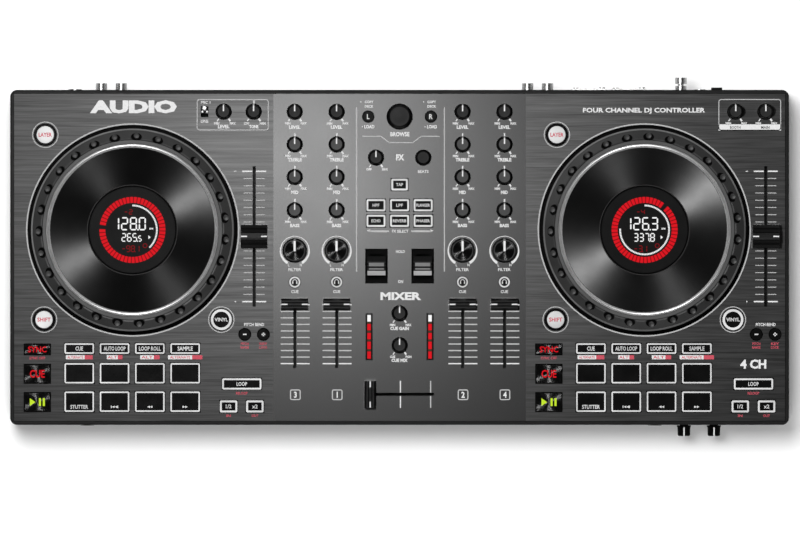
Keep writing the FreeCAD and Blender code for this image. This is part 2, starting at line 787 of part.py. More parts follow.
def build_jog_wheel(doc, label, deck):
    """Hollow wheel: a flat disc, a raised trim ring and a sloping dimpled rim."""
    body = new_body(doc, label)
    inner_wall = "jog_inner + shell_thick"
    under = "disc_level - shell_thick"
    profile = Drawing(body, "XZ_Plane").polygon([
        ("jog_inner", "jog_bottom + 1"),
        ("jog_inner", "disc_level - 0.4"),
        ("jog_inner + 0.4", "disc_level"),
        ("disc_rad", "disc_level"),
        ("disc_rad + 0.6", "trim_level"),
        ("trim_rad - 0.5", "trim_level"),
        ("trim_rad", "ring_level"),
        ("dimple_in - 0.4", "ring_level"),
        ("dimple_in", "ring_level + 0.7"),
        ("dimple_in + 1", "ring_level + 0.8"),
        ("dimple_out", "skirt_level + 1.0"),
        ("jog_rad", "skirt_level - 0.4"),
        ("jog_rad", "jog_bottom + 0.6"),
        ("jog_rad - 0.6", "jog_bottom"),
        ("jog_rad - shell_thick", "jog_bottom"),
        ("jog_rad - shell_thick", "skirt_level - 2.4"),
        (inner_wall, f"{under} - 1.6"),
        (inner_wall, "jog_bottom + 1"),
    ])
    revolve(body, profile)
    doc.recompute()
    dimple = body.newObject("PartDesign::SubtractiveSphere", label + "_dimple")
    dimple.AttachmentSupport = [(origin_of(body, "XY_Plane"), "")]
    dimple.MapMode = "FlatFace"
    bind(dimple, Radius="dimple_sphere")
    bind(dimple, AttachmentOffset__Base__x="dimple_pitch * sin(dimple_turn)",
         AttachmentOffset__Base__y="dimple_pitch * cos(dimple_turn)",
         AttachmentOffset__Base__z="dimple_level")
    ring = body.newObject("PartDesign::PolarPattern", label + "_dimples")
    ring.Originals = [dimple]
    ring.Axis = (origin_of(body, "Z_Axis"), [""])
    ring.Angle = 360
    bind(ring, Occurrences="dimple_count")
    body.Tip = ring
    place(body, deck, "jog_back")
    return body


def build_knob(doc, label, size, x, y, shaft="shaft_length"):
    """Fluted conical knob on its shaft; its own axis is Z and its skirt starts at Z = 0."""
    radius, grip, height = f"{size}_rad", f"{size}_grip", f"{size}_height"
    body = new_body(doc, label)
    profile = Drawing(body, "XZ_Plane").polygon([
        ("0", f"-{shaft}"),
        ("shaft_rad", f"-{shaft}"),
        ("shaft_rad", "0"),
        (radius, "0"),
        (radius, "knob_skirt"),
        (f"{radius} - 0.4", "knob_skirt + 0.3"),
        (grip, f"{height} - knob_edge"),
        (f"{grip} - knob_edge", height),
        ("0", height),
    ])
    revolve(body, profile)
    flute = Drawing(body, offset=height).circle("0", f"{radius} + 0.05", "flute_rad")
    cut = pocket(body, flute, f"{height} - knob_skirt - 0.6")
    ring = body.newObject("PartDesign::PolarPattern", label + "_flutes")
    ring.Originals = [cut]
    ring.Axis = (origin_of(body, "Z_Axis"), [""])
    ring.Angle = 360
    bind(ring, Occurrences="flute_count")
    body.Tip = ring
    place(body, x, y, "deck_level + panel_thick + knob_clear")
    return body


def build_front_knob(doc, label, x):
    """A volume knob on the front wall, turned to point at the player."""
    body = build_knob(doc, label, "front", x, "0", shaft="wall_thick")
    body.Placement.Rotation = FreeCAD.Rotation(FreeCAD.Vector(1, 0, 0), 90)
    place(body, x, "-case_depth / 2 - knob_clear", "front_level")
    return body


def saddle(height, length):
    """Side view of a fader cap: sloping ends and a dip across the top for the line."""
    return [
        (f"-{length} / 2", "0"),
        (f"{length} / 2", "0"),
        (f"{length} / 2", f"{height} * 0.45"),
        (f"{length} * 0.32", height),
        (f"{length} * 0.2", height),
        (f"{length} * 0.08", f"{height} - 1.2"),
        (f"-{length} * 0.08", f"{height} - 1.2"),
        (f"-{length} * 0.2", height),
        (f"-{length} * 0.32", height),
        (f"-{length} / 2", f"{height} * 0.45"),
    ]


def stepped(height, length):
    """Side view of the pitch cap: three finger ribs either side of a centre dip."""
    return [
        (f"-{length} / 2", "0"),
        (f"{length} / 2", "0"),
        (f"{length} / 2", f"{height} * 0.6"),
        (f"{length} * 0.38", f"{height} * 0.8"),
        (f"{length} * 0.33", f"{height} * 0.72"),
        (f"{length} * 0.2", height),
        (f"{length} * 0.14", f"{height} * 0.86"),
        (f"{length} * 0.06", f"{height} * 0.9"),
        (f"-{length} * 0.06", f"{height} * 0.9"),
        (f"-{length} * 0.14", f"{height} * 0.86"),
        (f"-{length} * 0.2", height),
        (f"-{length} * 0.33", f"{height} * 0.72"),
        (f"-{length} * 0.38", f"{height} * 0.8"),
        (f"-{length} / 2", f"{height} * 0.6"),
    ]


def build_slider(doc, label, x, y, width, side_view, turned=False):
    """Fader cap with the blade that runs down through its slot into the track."""
    body = new_body(doc, label)
    pad_across(body, Drawing(body, "YZ_Plane").polygon(side_view), width)
    stem = Drawing(body, offset="-stem_length").rectangle("0", "0", "stem_w", "stem_h")
    pad(body, stem, "stem_length")
    if turned:
        body.Placement.Rotation = FreeCAD.Rotation(FreeCAD.Vector(0, 0, 1), 90)
    place(body, x, y, "deck_level + panel_thick + slider_clear")
    return body


def build_paddle(doc, label, side):
    """Effect paddle: a ribbed finger rest on a neck that rocks about a pin below the panel."""
    body = new_body(doc, label)
    neck = Drawing(body, "YZ_Plane").rectangle("0", "neck_middle", "neck_h", "neck_length")
    pin = Drawing(body, "YZ_Plane").circle("0", "0", "paddle_pin_rad")
    pad_across(body, Drawing(body, "YZ_Plane").polygon(PADDLE_SIDE), "paddle_w")
    pad_across(body, neck, "neck_w")
    pad_across(body, pin, "neck_w")
    place(body, f"{side} * paddle_x", "paddle_y", "paddle_pivot")
    return body


def build_toggle(doc):
    """Small bat lever on a cross pin that rocks between microphone and line, leaning to the rear."""
    body = new_body(doc, "input_toggle")
    profile = Drawing(body, "XZ_Plane").polygon([
        ("0", "-1.6"),
        ("toggle_rad", "-1.6"),
        ("toggle_rad - 0.4", "4"),
        ("toggle_rad + 0.3", "toggle_height - 1"),
        ("toggle_rad - 0.5", "toggle_height"),
        ("0", "toggle_height"),
    ])
    revolve(body, profile)
    pad_across(body, Drawing(body, "YZ_Plane").circle("0", "0", "toggle_pin_rad"), "toggle_pin_w")
    body.Placement.Rotation = FreeCAD.Rotation(FreeCAD.Vector(1, 0, 0), DIMENSIONS["toggle_tilt"])
    place(body, "left_deck + toggle_x", "jog_back + top_knob_y", "toggle_pivot")
    return body


def build_power_button(doc):
    body = doc.addObject("Part::Box", "power_button")
    body.Label = "power_button"
    bind(body, Length="power_size", Width="power_length", Height="power_size")
    place(body, "power_x - power_size / 2", "case_depth / 2 + power_proud - power_length",
          "socket_level - power_size / 2")
    return body


def rod(doc, radius, length, x, tip, z, side=1):
    """A round bar along Y whose outer end is at y = tip on the rear (1) or front (-1) wall."""
    made = doc.addObject("Part::Cylinder", "rod")
    bind(made, Radius=radius, Height=length)
    made.Placement.Rotation = FreeCAD.Rotation(FreeCAD.Vector(1, 0, 0), 90)
    far_end = tip if side > 0 else f"{tip} + {length}"
    place(made, x, far_end, z)
    return made


def block(doc, width, length, height, x, tip, z):
    """A rectangular bar along Y whose outer end is at y = tip on the rear wall."""
    made = doc.addObject("Part::Box", "block")
    bind(made, Length=width, Width=length, Height=height)
    place(made, f"({x}) - ({width}) / 2", f"{tip} - ({length})", f"({z}) - ({height}) / 2")
    return made


def cut(doc, base, tool):
    made = doc.addObject("Part::Cut", "cut")
    made.Base = base
    made.Tool = tool
    return made


def fuse(doc, *pieces):
    made = doc.addObject("Part::MultiFuse", "fuse")
    made.Shapes = list(pieces)
    return made


def tube(doc, radius, bore, length, proud, x, z, side=1):
    """A socket barrel with a blind bore."""
    wall = "case_depth / 2"
    tip = f"{side} * ({wall} + {proud})"
    outer = rod(doc, radius, f"{length} + {proud}", x, tip, z, side)
    inner = rod(doc, bore, f"{length} + {proud} - jack_end", x, tip, z, side)
    return cut(doc, outer, inner)


def phono_socket(doc, x):
    """Thin barrel that a plug's shell slides over, on a wider base behind the wall."""
    wall = "case_depth / 2"
    tip = f"{wall} + phono_proud"
    base = rod(doc, "phono_base", "phono_length", x, wall, "socket_level")
    barrel = rod(doc, "phono_rad", "phono_proud", x, tip, "socket_level")
    hollow = rod(doc, "phono_bore", "phono_depth", x, tip, "socket_level")
    return cut(doc, fuse(doc, base, barrel), hollow)


def xlr_socket(doc, x):
    """Three pin output socket: square plate, round shell, recessed pins and two screws."""
    wall = "case_depth / 2"
    tip = f"{wall} + xlr_proud"
    plate = block(doc, "xlr_plate_w", "xlr_proud", "xlr_plate_h", x, tip, "socket_level")
    shell = rod(doc, "xlr_rad", "xlr_length", x, wall, "socket_level")
    hollow = rod(doc, "xlr_bore", "xlr_length + xlr_proud - jack_end", x, tip, "socket_level")
    pieces = [cut(doc, fuse(doc, plate, shell), hollow)]
    for across, up in (("-pin_circle", "pin_circle / 2"), ("pin_circle", "pin_circle / 2"),
                       ("0", "-pin_circle")):
        pieces.append(rod(doc, "pin_rad", "xlr_length - pin_set_back", f"{x} + {across}",
                          f"{wall} - pin_set_back", f"socket_level + {up}"))
    for side in SIDES:
        pieces.append(rod(doc, "xlr_screw_rad", "xlr_screw_proud", f"{x} + {side} * xlr_screw_x",
                          f"{tip} + xlr_screw_proud", f"socket_level + {side} * xlr_screw_y"))
    return fuse(doc, *pieces)


def build_connectors(doc):
    """Every socket on the rear and front walls, each a separate solid."""
    wall = "case_depth / 2"
    sockets = [tube(doc, "jack_rad", "jack_bore", "jack_length", "jack_proud", "mic_one_x", "socket_level")]
    for x in ("headphone_x", "mic_two_x"):
        sockets.append(tube(doc, "jack_rad", "jack_bore", "jack_length", "jack_proud", x,
                            "front_level", side=-1))
    sockets.append(tube(doc, "small_jack_rad", "small_jack_bore", "small_jack_length", "small_jack_proud",
                        "small_jack_x", "front_level", side=-1))
    for pair in ("left_phono_x", "right_phono_x"):
        sockets += [phono_socket(doc, f"{pair} + {side} * phono_pitch / 2") for side in SIDES]
    sockets += [xlr_socket(doc, x) for x in ("xlr_first_x", "xlr_second_x")]
    nut_tip = f"{wall} + ground_proud"
    nut_length = "ground_proud - ground_base - ground_neck"
    base = rod(doc, "ground_rad - barrel_gap", "ground_base + ground_depth", "ground_x",
               f"{wall} + ground_base", "socket_level")
    neck = rod(doc, "ground_neck_rad", "ground_proud", "ground_x", nut_tip, "socket_level")
    nut = rod(doc, "ground_rad", nut_length, "ground_x", nut_tip, "socket_level")
    sockets.append(fuse(doc, base, neck, nut))
    shell = block(doc, "usb_w", "usb_length", "usb_h", "usb_x", f"{wall} + usb_proud", "socket_level")
    mouth = block(doc, "usb_hole_w", "usb_length - usb_back", "usb_hole_h", "usb_x", f"{wall} + usb_proud",
                  "socket_level")
    sockets.append(cut(doc, shell, mouth))
    inlet = tube(doc, "inlet_rad", "inlet_bore", "inlet_length", "inlet_proud", "inlet_x", "socket_level")
    pin = rod(doc, "inlet_pin_rad", "inlet_pin_length", "inlet_x", wall, "socket_level")
    sockets.append(fuse(doc, inlet, pin))
    group = doc.addObject("Part::Compound", "connectors")
    group.Label = "connectors"
    group.Links = sockets
    return group


def build_strip(doc, strip, x):
    """Knobs and fader of one mixer channel."""
    parts = [build_knob(doc, f"{strip}_{name}_knob", "knob", x, y) for name, y in STRIP_KNOBS.items()]
    parts.append(build_knob(doc, f"{strip}_filter_knob", "filter", x, "filter_y"))
    parts.append(build_slider(doc, f"{strip}_fader", x, "fader_top_y", "slider_w",
                              saddle("slider_height", "slider_h")))
    return parts


def build_deck(doc, side, knob_names):
    """Everything of one deck that hangs from its jog wheel's axis."""
    deck = f"{side}_deck"
    parts = [
        build_deck_panel(doc, f"{side}_deck_panel", deck, with_toggle=side == "left"),
        build_jog_wheel(doc, f"{side}_jog_wheel", deck),
        build_caps(doc, f"{side}_pads", DECK_PADS + DECK_MODES, [], deck, "jog_back"),
        build_caps(doc, f"{side}_deck_buttons", DECK_KEYS, DECK_ROUND_KEYS, deck, "jog_back"),
        build_slider(doc, f"{side}_pitch_fader", f"{deck} + pitch_x", "jog_back + pitch_y", "pitch_w",
                     stepped("slider_height", "pitch_h")),
    ]
    for name, x in zip(knob_names, DECK_KNOBS):
        parts.append(build_knob(doc, name, "knob", f"{deck} + {x}", "jog_back + top_knob_y"))
    return parts


def build_mixer(doc):
    parts = [
        build_mixer_panel(doc),
        build_caps(doc, "mixer_buttons", MIXER_KEYS, MIXER_ROUND_KEYS, "0", "0"),
        build_knob(doc, "cue_gain_knob", "knob", "0", "gain_y"),
        build_knob(doc, "cue_mix_knob", "knob", "0", "blend_y"),
        build_knob(doc, "effect_level_knob", "knob", "-effect_x", "effect_knob_y"),
        build_knob(doc, "effect_beats_knob", "knob", "effect_x", "effect_knob_y"),
        build_knob(doc, "browse_knob", "browse", "0", "browse_y"),
        build_slider(doc, "crossfader", "cross_x", "cross_y", "slider_w",
                     saddle("slider_height", "slider_h"), turned=True),
        build_paddle(doc, "left_effect_paddle", "-1"),
        build_paddle(doc, "right_effect_paddle", "1"),
    ]
    for strip, x in STRIPS.items():
        parts += build_strip(doc, strip, x)
    return parts


def build_all(doc):
    parts = [
        build_bottom_case(doc),
        build_top_case(doc),
        build_feet(doc),
        build_screws(doc),
        build_circuit_boards(doc),
        build_pots_and_faders(doc),
        build_displays(doc),
        build_connectors(doc),
        build_power_button(doc),
        build_toggle(doc),
        build_front_knob(doc, "mic_two_level_knob", "front_first_x"),
        build_front_knob(doc, "mic_two_tone_knob", "front_second_x"),
    ]
    parts += build_deck(doc, "left", ("mic_level_knob", "mic_tone_knob"))
    parts += build_deck(doc, "right", ("booth_knob", "main_knob"))
    parts += build_mixer(doc)
    return parts


def check(doc, parts):
    """Stop before writing anything if an object failed or a shape is unusable."""
    for thing in doc.Objects:
        if "Invalid" in thing.State or "Error" in thing.State:
            raise RuntimeError(f"{thing.Label} did not compute: {thing.State}")
    for part in parts:
        if part.Shape.isNull() or not part.Shape.isValid():
            raise RuntimeError(f"{part.Label} has no valid shape")
    if len({part.Label for part in parts}) != len(parts):
        raise RuntimeError("two parts share a label")


def main():
    doc = FreeCAD.newDocument("dj_controller")
    make_sheet(doc)
    parts = build_all(doc)
    doc.recompute()
    check(doc, parts)
    os.makedirs("parts", exist_ok=True)
    for part in parts:
        part.Shape.exportStep(f"parts/{part.Label}.step")
    print(len(parts), "parts written")


main()
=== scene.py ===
"""Looks of the DJ controller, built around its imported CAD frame.

Pieces are drawn in millimetres in the frame's own axes and turned into metres in one place.
"""
import json
import math

import bpy
from mathutils import Matrix, Vector


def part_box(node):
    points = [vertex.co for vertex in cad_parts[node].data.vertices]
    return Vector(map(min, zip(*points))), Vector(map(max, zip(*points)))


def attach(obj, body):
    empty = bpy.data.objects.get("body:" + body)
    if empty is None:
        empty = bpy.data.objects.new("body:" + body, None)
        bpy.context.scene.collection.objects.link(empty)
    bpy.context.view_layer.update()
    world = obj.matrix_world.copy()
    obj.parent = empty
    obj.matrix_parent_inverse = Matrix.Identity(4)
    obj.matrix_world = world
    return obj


MM = 0.001
DECKS = ("left", "right")
STRIPS = ("channel_3", "channel_1", "channel_2", "channel_4")
INK_THICK = 0.03
FACE_THICK = 0.12
OVERPRINT = 0.06

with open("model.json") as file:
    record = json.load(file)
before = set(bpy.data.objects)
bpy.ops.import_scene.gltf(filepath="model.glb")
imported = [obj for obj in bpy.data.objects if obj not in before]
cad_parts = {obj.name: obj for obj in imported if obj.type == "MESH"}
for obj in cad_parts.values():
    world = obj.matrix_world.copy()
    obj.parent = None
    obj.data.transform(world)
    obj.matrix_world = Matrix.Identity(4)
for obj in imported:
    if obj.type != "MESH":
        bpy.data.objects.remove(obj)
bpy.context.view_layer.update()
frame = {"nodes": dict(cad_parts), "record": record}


# ---- places read from the frame

class Box:
    """A box in millimetres, read from the frame."""

    def __init__(self, low, high):
        self.low = Vector(low) / MM
        self.high = Vector(high) / MM
        self.x, self.y, self.z = (self.low + self.high) / 2
        self.width, self.depth, self.height = self.high - self.low
        self.top = self.high.z


def node_box(node):
    return Box(*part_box(node))


def solids_of(node):
    """The box of each separate solid in a CAD node, rear row first and left to right."""
    mesh = frame["nodes"][node].data
    parent = {}

    def root(key):
        while parent[key] != key:
            parent[key] = parent[parent[key]]
            key = parent[key]
        return key

    keys = [tuple(round(value, 6) for value in vertex.co) for vertex in mesh.vertices]
    for key in keys:
        parent.setdefault(key, key)
    for polygon in mesh.polygons:
        first = root(keys[polygon.vertices[0]])
        for index in polygon.vertices[1:]:
            parent[root(keys[index])] = first
    groups = {}
    for key in parent:
        groups.setdefault(root(key), []).append(key)
    boxes = [Box([min(axis) for axis in zip(*points)], [max(axis) for axis in zip(*points)])
             for points in groups.values()]
    return sorted(boxes, key=lambda box: (-round(box.y), box.x))


PANEL = node_box("mixer_panel").top
KNOB_NODES = [node for node in frame["nodes"] if node.endswith("_knob")]


# ---- materials

M = {}


class Shader:
    """A node material around one Principled shader, kept in M under its name."""

    def __init__(self, name, color, roughness, **sockets):
        self.material = M[name] = bpy.data.materials.new(name)
        self.material.use_nodes = True
        self.tree = self.material.node_tree
        self.shader = self.tree.nodes["Principled BSDF"]
        self.shader.inputs["Base Color"].default_value = (*color, 1)
        self.shader.inputs["Roughness"].default_value = roughness
        for socket, value in sockets.items():
            self.shader.inputs[socket.replace("_", " ")].default_value = value
        self.height = None

    def node(self, kind, **values):
        made = self.tree.nodes.new(kind)
        for name, value in values.items():
            if name in made.inputs:
                made.inputs[name].default_value = value
            else:
                setattr(made, name, value)
        return made

    def link(self, output, target):
        self.tree.links.new(output, target)

    def coordinates(self, scale):
        """Object coordinates in millimetres, stretched by scale."""
        source = self.node("ShaderNodeTexCoord")
        mapping = self.node("ShaderNodeMapping")
        mapping.inputs["Scale"].default_value = [value / MM for value in scale]
        self.link(source.outputs["Object"], mapping.inputs["Vector"])
        return mapping.outputs["Vector"]

    def noise(self, scale, detail=3.0, stretch=(1, 1, 1)):
        texture = self.node("ShaderNodeTexNoise", Scale=scale, Detail=detail)
        self.link(self.coordinates(stretch), texture.inputs["Vector"])
        return texture.outputs["Fac"]

    def spread(self, factor, low, high):
        """Map the middle of a texture's range onto low..high."""
        ramp = self.node("ShaderNodeMapRange")
        for socket, value in (("From Min", 0.3), ("From Max", 0.7), ("To Min", low), ("To Max", high)):
            ramp.inputs[socket].default_value = value
        self.link(factor, ramp.inputs["Value"])
        return ramp.outputs["Result"]

    def tint(self, factor, dark, light):
        mix = self.node("ShaderNodeMix", data_type="RGBA")
        for socket, color in zip([socket for socket in mix.inputs if socket.type == "RGBA"], (dark, light)):
            socket.default_value = (*color, 1)
        self.link(self.spread(factor, 0, 1), mix.inputs["Factor"])
        output = next(socket for socket in mix.outputs if socket.type == "RGBA")
        self.link(output, self.shader.inputs["Base Color"])

    def rough(self, factor, low, high):
        self.link(self.spread(factor, low, high), self.shader.inputs["Roughness"])

    def bump(self, factor, distance, strength=0.5):
        bump = self.node("ShaderNodeBump", Strength=strength, Distance=distance * MM)
        self.link(factor, bump.inputs["Height"])
        if self.height is not None:
            self.link(self.height, bump.inputs["Normal"])
        self.height = bump.outputs["Normal"]
        self.link(self.height, self.shader.inputs["Normal"])

    def tangent(self, axis):
        """Direction of the brushing: round the piece's own axis of this name."""
        tangent = self.node("ShaderNodeTangent", direction_type="RADIAL", axis=axis)
        self.link(tangent.outputs["Tangent"], self.shader.inputs["Tangent"])


def grey(value):
    return (value, value, value)


def plastic(name, shade, roughness, grain=0.35, grain_size=1.4, gloss=0.15):
    """Moulded plastic: a fine grain in the surface and slow changes of gloss."""
    made = Shader(name, grey(shade), roughness, Specular_IOR_Level=gloss)
    made.bump(made.noise(grain_size, 4), 0.03, grain)
    made.tint(made.noise(0.05, 2), grey(shade * 0.85), grey(shade * 1.2))
    made.rough(made.noise(0.12, 3), roughness - 0.05, roughness + 0.06)


def brushed(name, dark, light, roughness):
    """Sheet brushed from side to side, with long scratches of several lengths."""
    made = Shader(name, grey(light), roughness, Metallic=1.0, Anisotropic=0.33)
    made.tangent("Y")
    fine = made.noise(1.0, 2, stretch=(0.035, 1.1, 1))
    long = made.noise(1.0, 3, stretch=(0.012, 0.42, 1))
    both = made.node("ShaderNodeMath", operation="ADD")
    made.link(fine, both.inputs[0])
    made.link(long, both.inputs[1])
    half = made.node("ShaderNodeMath", operation="MULTIPLY")
    half.inputs[1].default_value = 0.5
    made.link(both.outputs[0], half.inputs[0])
    made.tint(half.outputs[0], grey(dark), grey(light))
    made.rough(fine, roughness - 0.02, roughness + 0.02)
    made.bump(half.outputs[0], 0.01, 0.15)


def satin_sheet(name, dark, light, roughness):
    """Bead blasted sheet: a fine even sparkle and no direction."""
    made = Shader(name, grey(light), roughness, Metallic=1.0)
    made.tint(made.noise(1.6, 4), grey(dark), grey(light))
    made.rough(made.noise(0.02, 2), roughness - 0.005, roughness + 0.005)
    made.bump(made.noise(2.5, 3), 0.004, 0.2)


def spun(name, shade, roughness, anisotropic):
    """Metal turned on a lathe: its grooves pull each lamp out into a pair of bright fans."""
    made = Shader(name, grey(shade), roughness, Metallic=1.0, Anisotropic=anisotropic,
                  Anisotropic_Rotation=0.25)
    made.tangent("Z")
    made.tint(made.noise(0.08, 3), grey(shade * 0.9), grey(shade * 1.1))


def ink(name, color):
    """Screen printed ink, a little uneven."""
    made = Shader(name, color, 0.5, Specular_IOR_Level=0.2)
    made.tint(made.noise(0.8, 3), tuple(value * 0.88 for value in color), color)
    made.bump(made.noise(3.0, 2), 0.01, 0.3)


def light(name, color, strength, base):
    """A translucent window lit from behind, brighter in patches."""
    made = Shader(name, base, 0.4, Specular_IOR_Level=0.02, Emission_Color=(*color, 1),
                  Emission_Strength=strength)
    made.tint(made.noise(0.5, 2), tuple(value * 0.85 for value in base), base)


def polished(name, shade, roughness):
    made = Shader(name, grey(shade), roughness, Metallic=1.0)
    made.tint(made.noise(0.3, 3), grey(shade * 0.85), grey(shade))
    made.rough(made.noise(1.2, 3), roughness * 0.8, roughness * 1.5)


def board(name):
    made = Shader(name, (0.004, 0.01, 0.006), 0.4, Specular_IOR_Level=0.05)
    made.tint(made.noise(0.4, 3), (0.003, 0.008, 0.005), (0.005, 0.013, 0.008))


plastic("case_plastic", 0.006, 0.4, gloss=0.06)
brushed("deck_panel", 0.13, 0.35, 0.317)
satin_sheet("mixer_panel", 0.165, 0.195, 0.26)
plastic("foot_rubber", 0.015, 0.8, grain=0.6)
polished("screw_steel", 0.1, 0.35)
board("circuit_board")
plastic("component_black", 0.01, 0.5)
plastic("display_black", 0.005, 0.3, grain=0.03, grain_size=2.0, gloss=0.02)
polished("socket_metal", 0.42, 0.2)
polished("lever_chrome", 0.45, 0.3)
plastic("button_black", 0.003, 0.2, grain=0.03, gloss=0.03)
plastic("jog_black", 0.014, 0.4, grain=0.05, gloss=0.2)
spun("disc_spun", 0.09, 0.2, 0.9)
spun("face_spun", 0.09, 0.2, 1.0)
spun("trim_silver", 0.6, 0.3, 0.8)
plastic("ring_grey", 0.045, 0.45, grain=0.1)
# Pale grey for the jog rim's outer edge: a painted highlight where light catches that edge.
plastic("rim_highlight_grey", 0.11, 0.35, grain=0.05)
plastic("knob_rubber", 0.002, 0.5, grain=0.5, grain_size=2.5, gloss=0.03)
plastic("knob_top", 0.04, 0.5, grain=0.4, grain_size=2.0, gloss=0.06)
plastic("knob_dark", 0.014, 0.5, grain=0.4, grain_size=2.0, gloss=0.06)
plastic("fader_black", 0.004, 0.3, grain=0.1, gloss=0.1)
plastic("paddle_black", 0.004, 0.3, grain=0.1, gloss=0.06)
plastic("paddle_silver", 0.4, 0.4, grain=0.1)
plastic("paddle_grey", 0.11, 0.4, grain=0.1, gloss=0.1)
# Black for painted shade in hollows: the finger dimples, the paddle wells and the gaps round the wheels.
plastic("hollow_shade_black", 0.001, 0.5, gloss=0.02)
ink("print_white", (0.62, 0.62, 0.62))
ink("print_grey", (0.38, 0.38, 0.38))
ink("print_red", (0.45, 0.02, 0.05))
ink("print_black", (0.01, 0.01, 0.01))
plastic("cap_white", 0.47, 0.45, grain=0.1, gloss=0.1)
light("light_red", (0.85, 0.006, 0.015), 0.78, (0.02, 0.001, 0.001))
light("light_dim", (0.85, 0.006, 0.015), 0.24, (0.02, 0.001, 0.001))
light("light_white", (1.0, 1.0, 1.0), 0.8, (0.1, 0.1, 0.1))
light("light_green", (0.6, 0.85, 0.03), 0.8, (0.05, 0.07, 0.005))
light("light_off", (0.16, 0.1, 0.04), 0.2, (0.02, 0.015, 0.01))


def dress_frame():
    """Give each CAD node its material."""
    by_slot = {item["node"]: item["material_slot"] for item in frame["record"]["subparts"]}
    for node, thing in frame["nodes"].items():
        slot = by_slot[node]
        if node in KNOB_NODES:
            slot = "knob_rubber"
        thing.data.materials.clear()
        thing.data.materials.append(M[slot])


# ---- mesh tools

def arc(x, y, radius, start, end, steps):
    """Points on a circle; angles in degrees from +X, anticlockwise."""
    angles = [math.radians(start + (end - start) * step / steps) for step in range(steps + 1)]
    return [(x + radius * math.cos(angle), y + radius * math.sin(angle)) for angle in angles]


def rounded(x, y, width, height, corner):
    """Outline of a rectangle with round corners."""
    points = []
    for turn, (side, end) in enumerate(((1, 1), (-1, 1), (-1, -1), (1, -1))):
        cx = x + side * (width / 2 - corner)
        cy = y + end * (height / 2 - corner)
        points += arc(cx, cy, corner, 90 * turn, 90 * turn + 90, 4)
    return points


class Pieces:
    """Meshes in millimetres that end up as one object riding on one body."""

    def __init__(self, name, body, material):
        self.name = name
        self.body = body
        self.material = material
        self.vertices = []
        self.faces = []

    def add(self, vertices, faces):
        first = len(self.vertices)
        self.vertices += vertices
        self.faces += [[first + index for index in face] for face in faces]

    def prism(self, outline, low, high):
        count = len(outline)
        vertices = [(x, y, low) for x, y in outline] + [(x, y, high) for x, y in outline]
        faces = [list(range(count))[::-1], list(range(count, 2 * count))]
        faces += [[i, (i + 1) % count, count + (i + 1) % count, count + i] for i in range(count)]
        self.add(vertices, faces)

    def band(self, outer, inner, low, high, closed=True):
        """A strip between two outlines with the same number of points."""
        count = len(outer)
        vertices = [(x, y, level) for level in (low, high) for outline in (outer, inner)
                    for x, y in outline]
        o_low, i_low, o_high, i_high = (count * row for row in range(4))
        faces = []
        for i in range(count if closed else count - 1):
            j = (i + 1) % count
            faces += [[o_high + i, o_high + j, i_high + j, i_high + i],
                      [o_low + j, o_low + i, i_low + i, i_low + j],
                      [o_low + i, o_low + j, o_high + j, o_high + i],
                      [i_low + j, i_low + i, i_high + i, i_high + j]]
        if not closed:
            last = count - 1
            faces += [[o_low, o_high, i_high, i_low],
                      [o_low + last, i_low + last, i_high + last, o_high + last]]
        self.add(vertices, faces)

    def bar(self, x, y, width, height, low, high):
        self.prism([(x + side * width / 2, y + end * height / 2)
                    for side, end in ((-1, -1), (1, -1), (1, 1), (-1, 1))], low, high)

    def ring(self, x, y, outer, inner, low, high, steps=96):
        self.band(arc(x, y, outer, 0, 360, steps)[:-1], arc(x, y, inner, 0, 360, steps)[:-1], low, high)

    def sector(self, x, y, outer, inner, start, end, low, high, steps=4):
        self.band(arc(x, y, outer, start, end, steps), arc(x, y, inner, start, end, steps),
                  low, high, closed=False)

    def frame(self, x, y, width, height, line, corner, low, high):
        inner_corner = max(corner - line, 0.05)
        self.band(rounded(x, y, width, height, corner),
                  rounded(x, y, width - 2 * line, height - 2 * line, inner_corner), low, high)

    def hoop(self, loops):
        """Join matching closed loops of points, and the last one to the first."""
        count = len(loops[0])
        faces = []
        for step in range(len(loops)):
            near = step * count
            far = (step + 1) % len(loops) * count
            faces += [[near + i, far + i, far + (i + 1) % count, near + (i + 1) % count]
                      for i in range(count)]
        self.add([point for loop in loops for point in loop], faces)

    def lathe(self, x, y, profile, steps):
        """A closed profile of (radius, level) turned about an upright axis."""
        angles = [2 * math.pi * step / steps for step in range(steps)]
        self.hoop([[(x + r * math.cos(angle), y + r * math.sin(angle), z) for r, z in profile]
                   for angle in angles])

    def text(self, words, x, y, height, width, bold, low, high):
        """Plain capitals, height millimetres tall; a given width squeezes them to fit."""
        points, faces, (left, right, bottom, top) = lettering(words, bold)
        up = height / (top - bottom)
        across = width / (right - left) if width else up * LETTER_STRETCH
        self.add([(x + (px - (left + right) / 2) * across, y + (py - (bottom + top) / 2) * up,
                   high if pz > 0 else low) for px, py, pz in points], faces)

    def finish(self, smooth=None, bevel=None):
        mesh = bpy.data.meshes.new(self.name)
        mesh.from_pydata([tuple(value * MM for value in vertex) for vertex in self.vertices], [], self.faces)
        mesh.validate()
        mesh.materials.append(M[self.material])
        thing = bpy.data.objects.new(self.name, mesh)
        bpy.context.scene.collection.objects.link(thing)
        if bevel is not None:
            edges = thing.modifiers.new("edges", "BEVEL")
            edges.width = bevel * MM
            edges.segments = 2
            edges.limit_method = "ANGLE"
        if smooth is not None:
            for polygon in mesh.polygons:
                polygon.use_smooth = True
            mesh.set_sharp_from_angle(angle=math.radians(smooth))
        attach(thing, self.body)
        return thing


def turned(name, body, material, x, y, profile, steps=192, smooth=30):
    """One lathed piece, finished."""
    piece = Pieces(name, body, material)
    piece.lathe(x, y, profile, steps)
    piece.finish(smooth=smooth)


LETTERS = {}
LETTER_STRETCH = 0.85


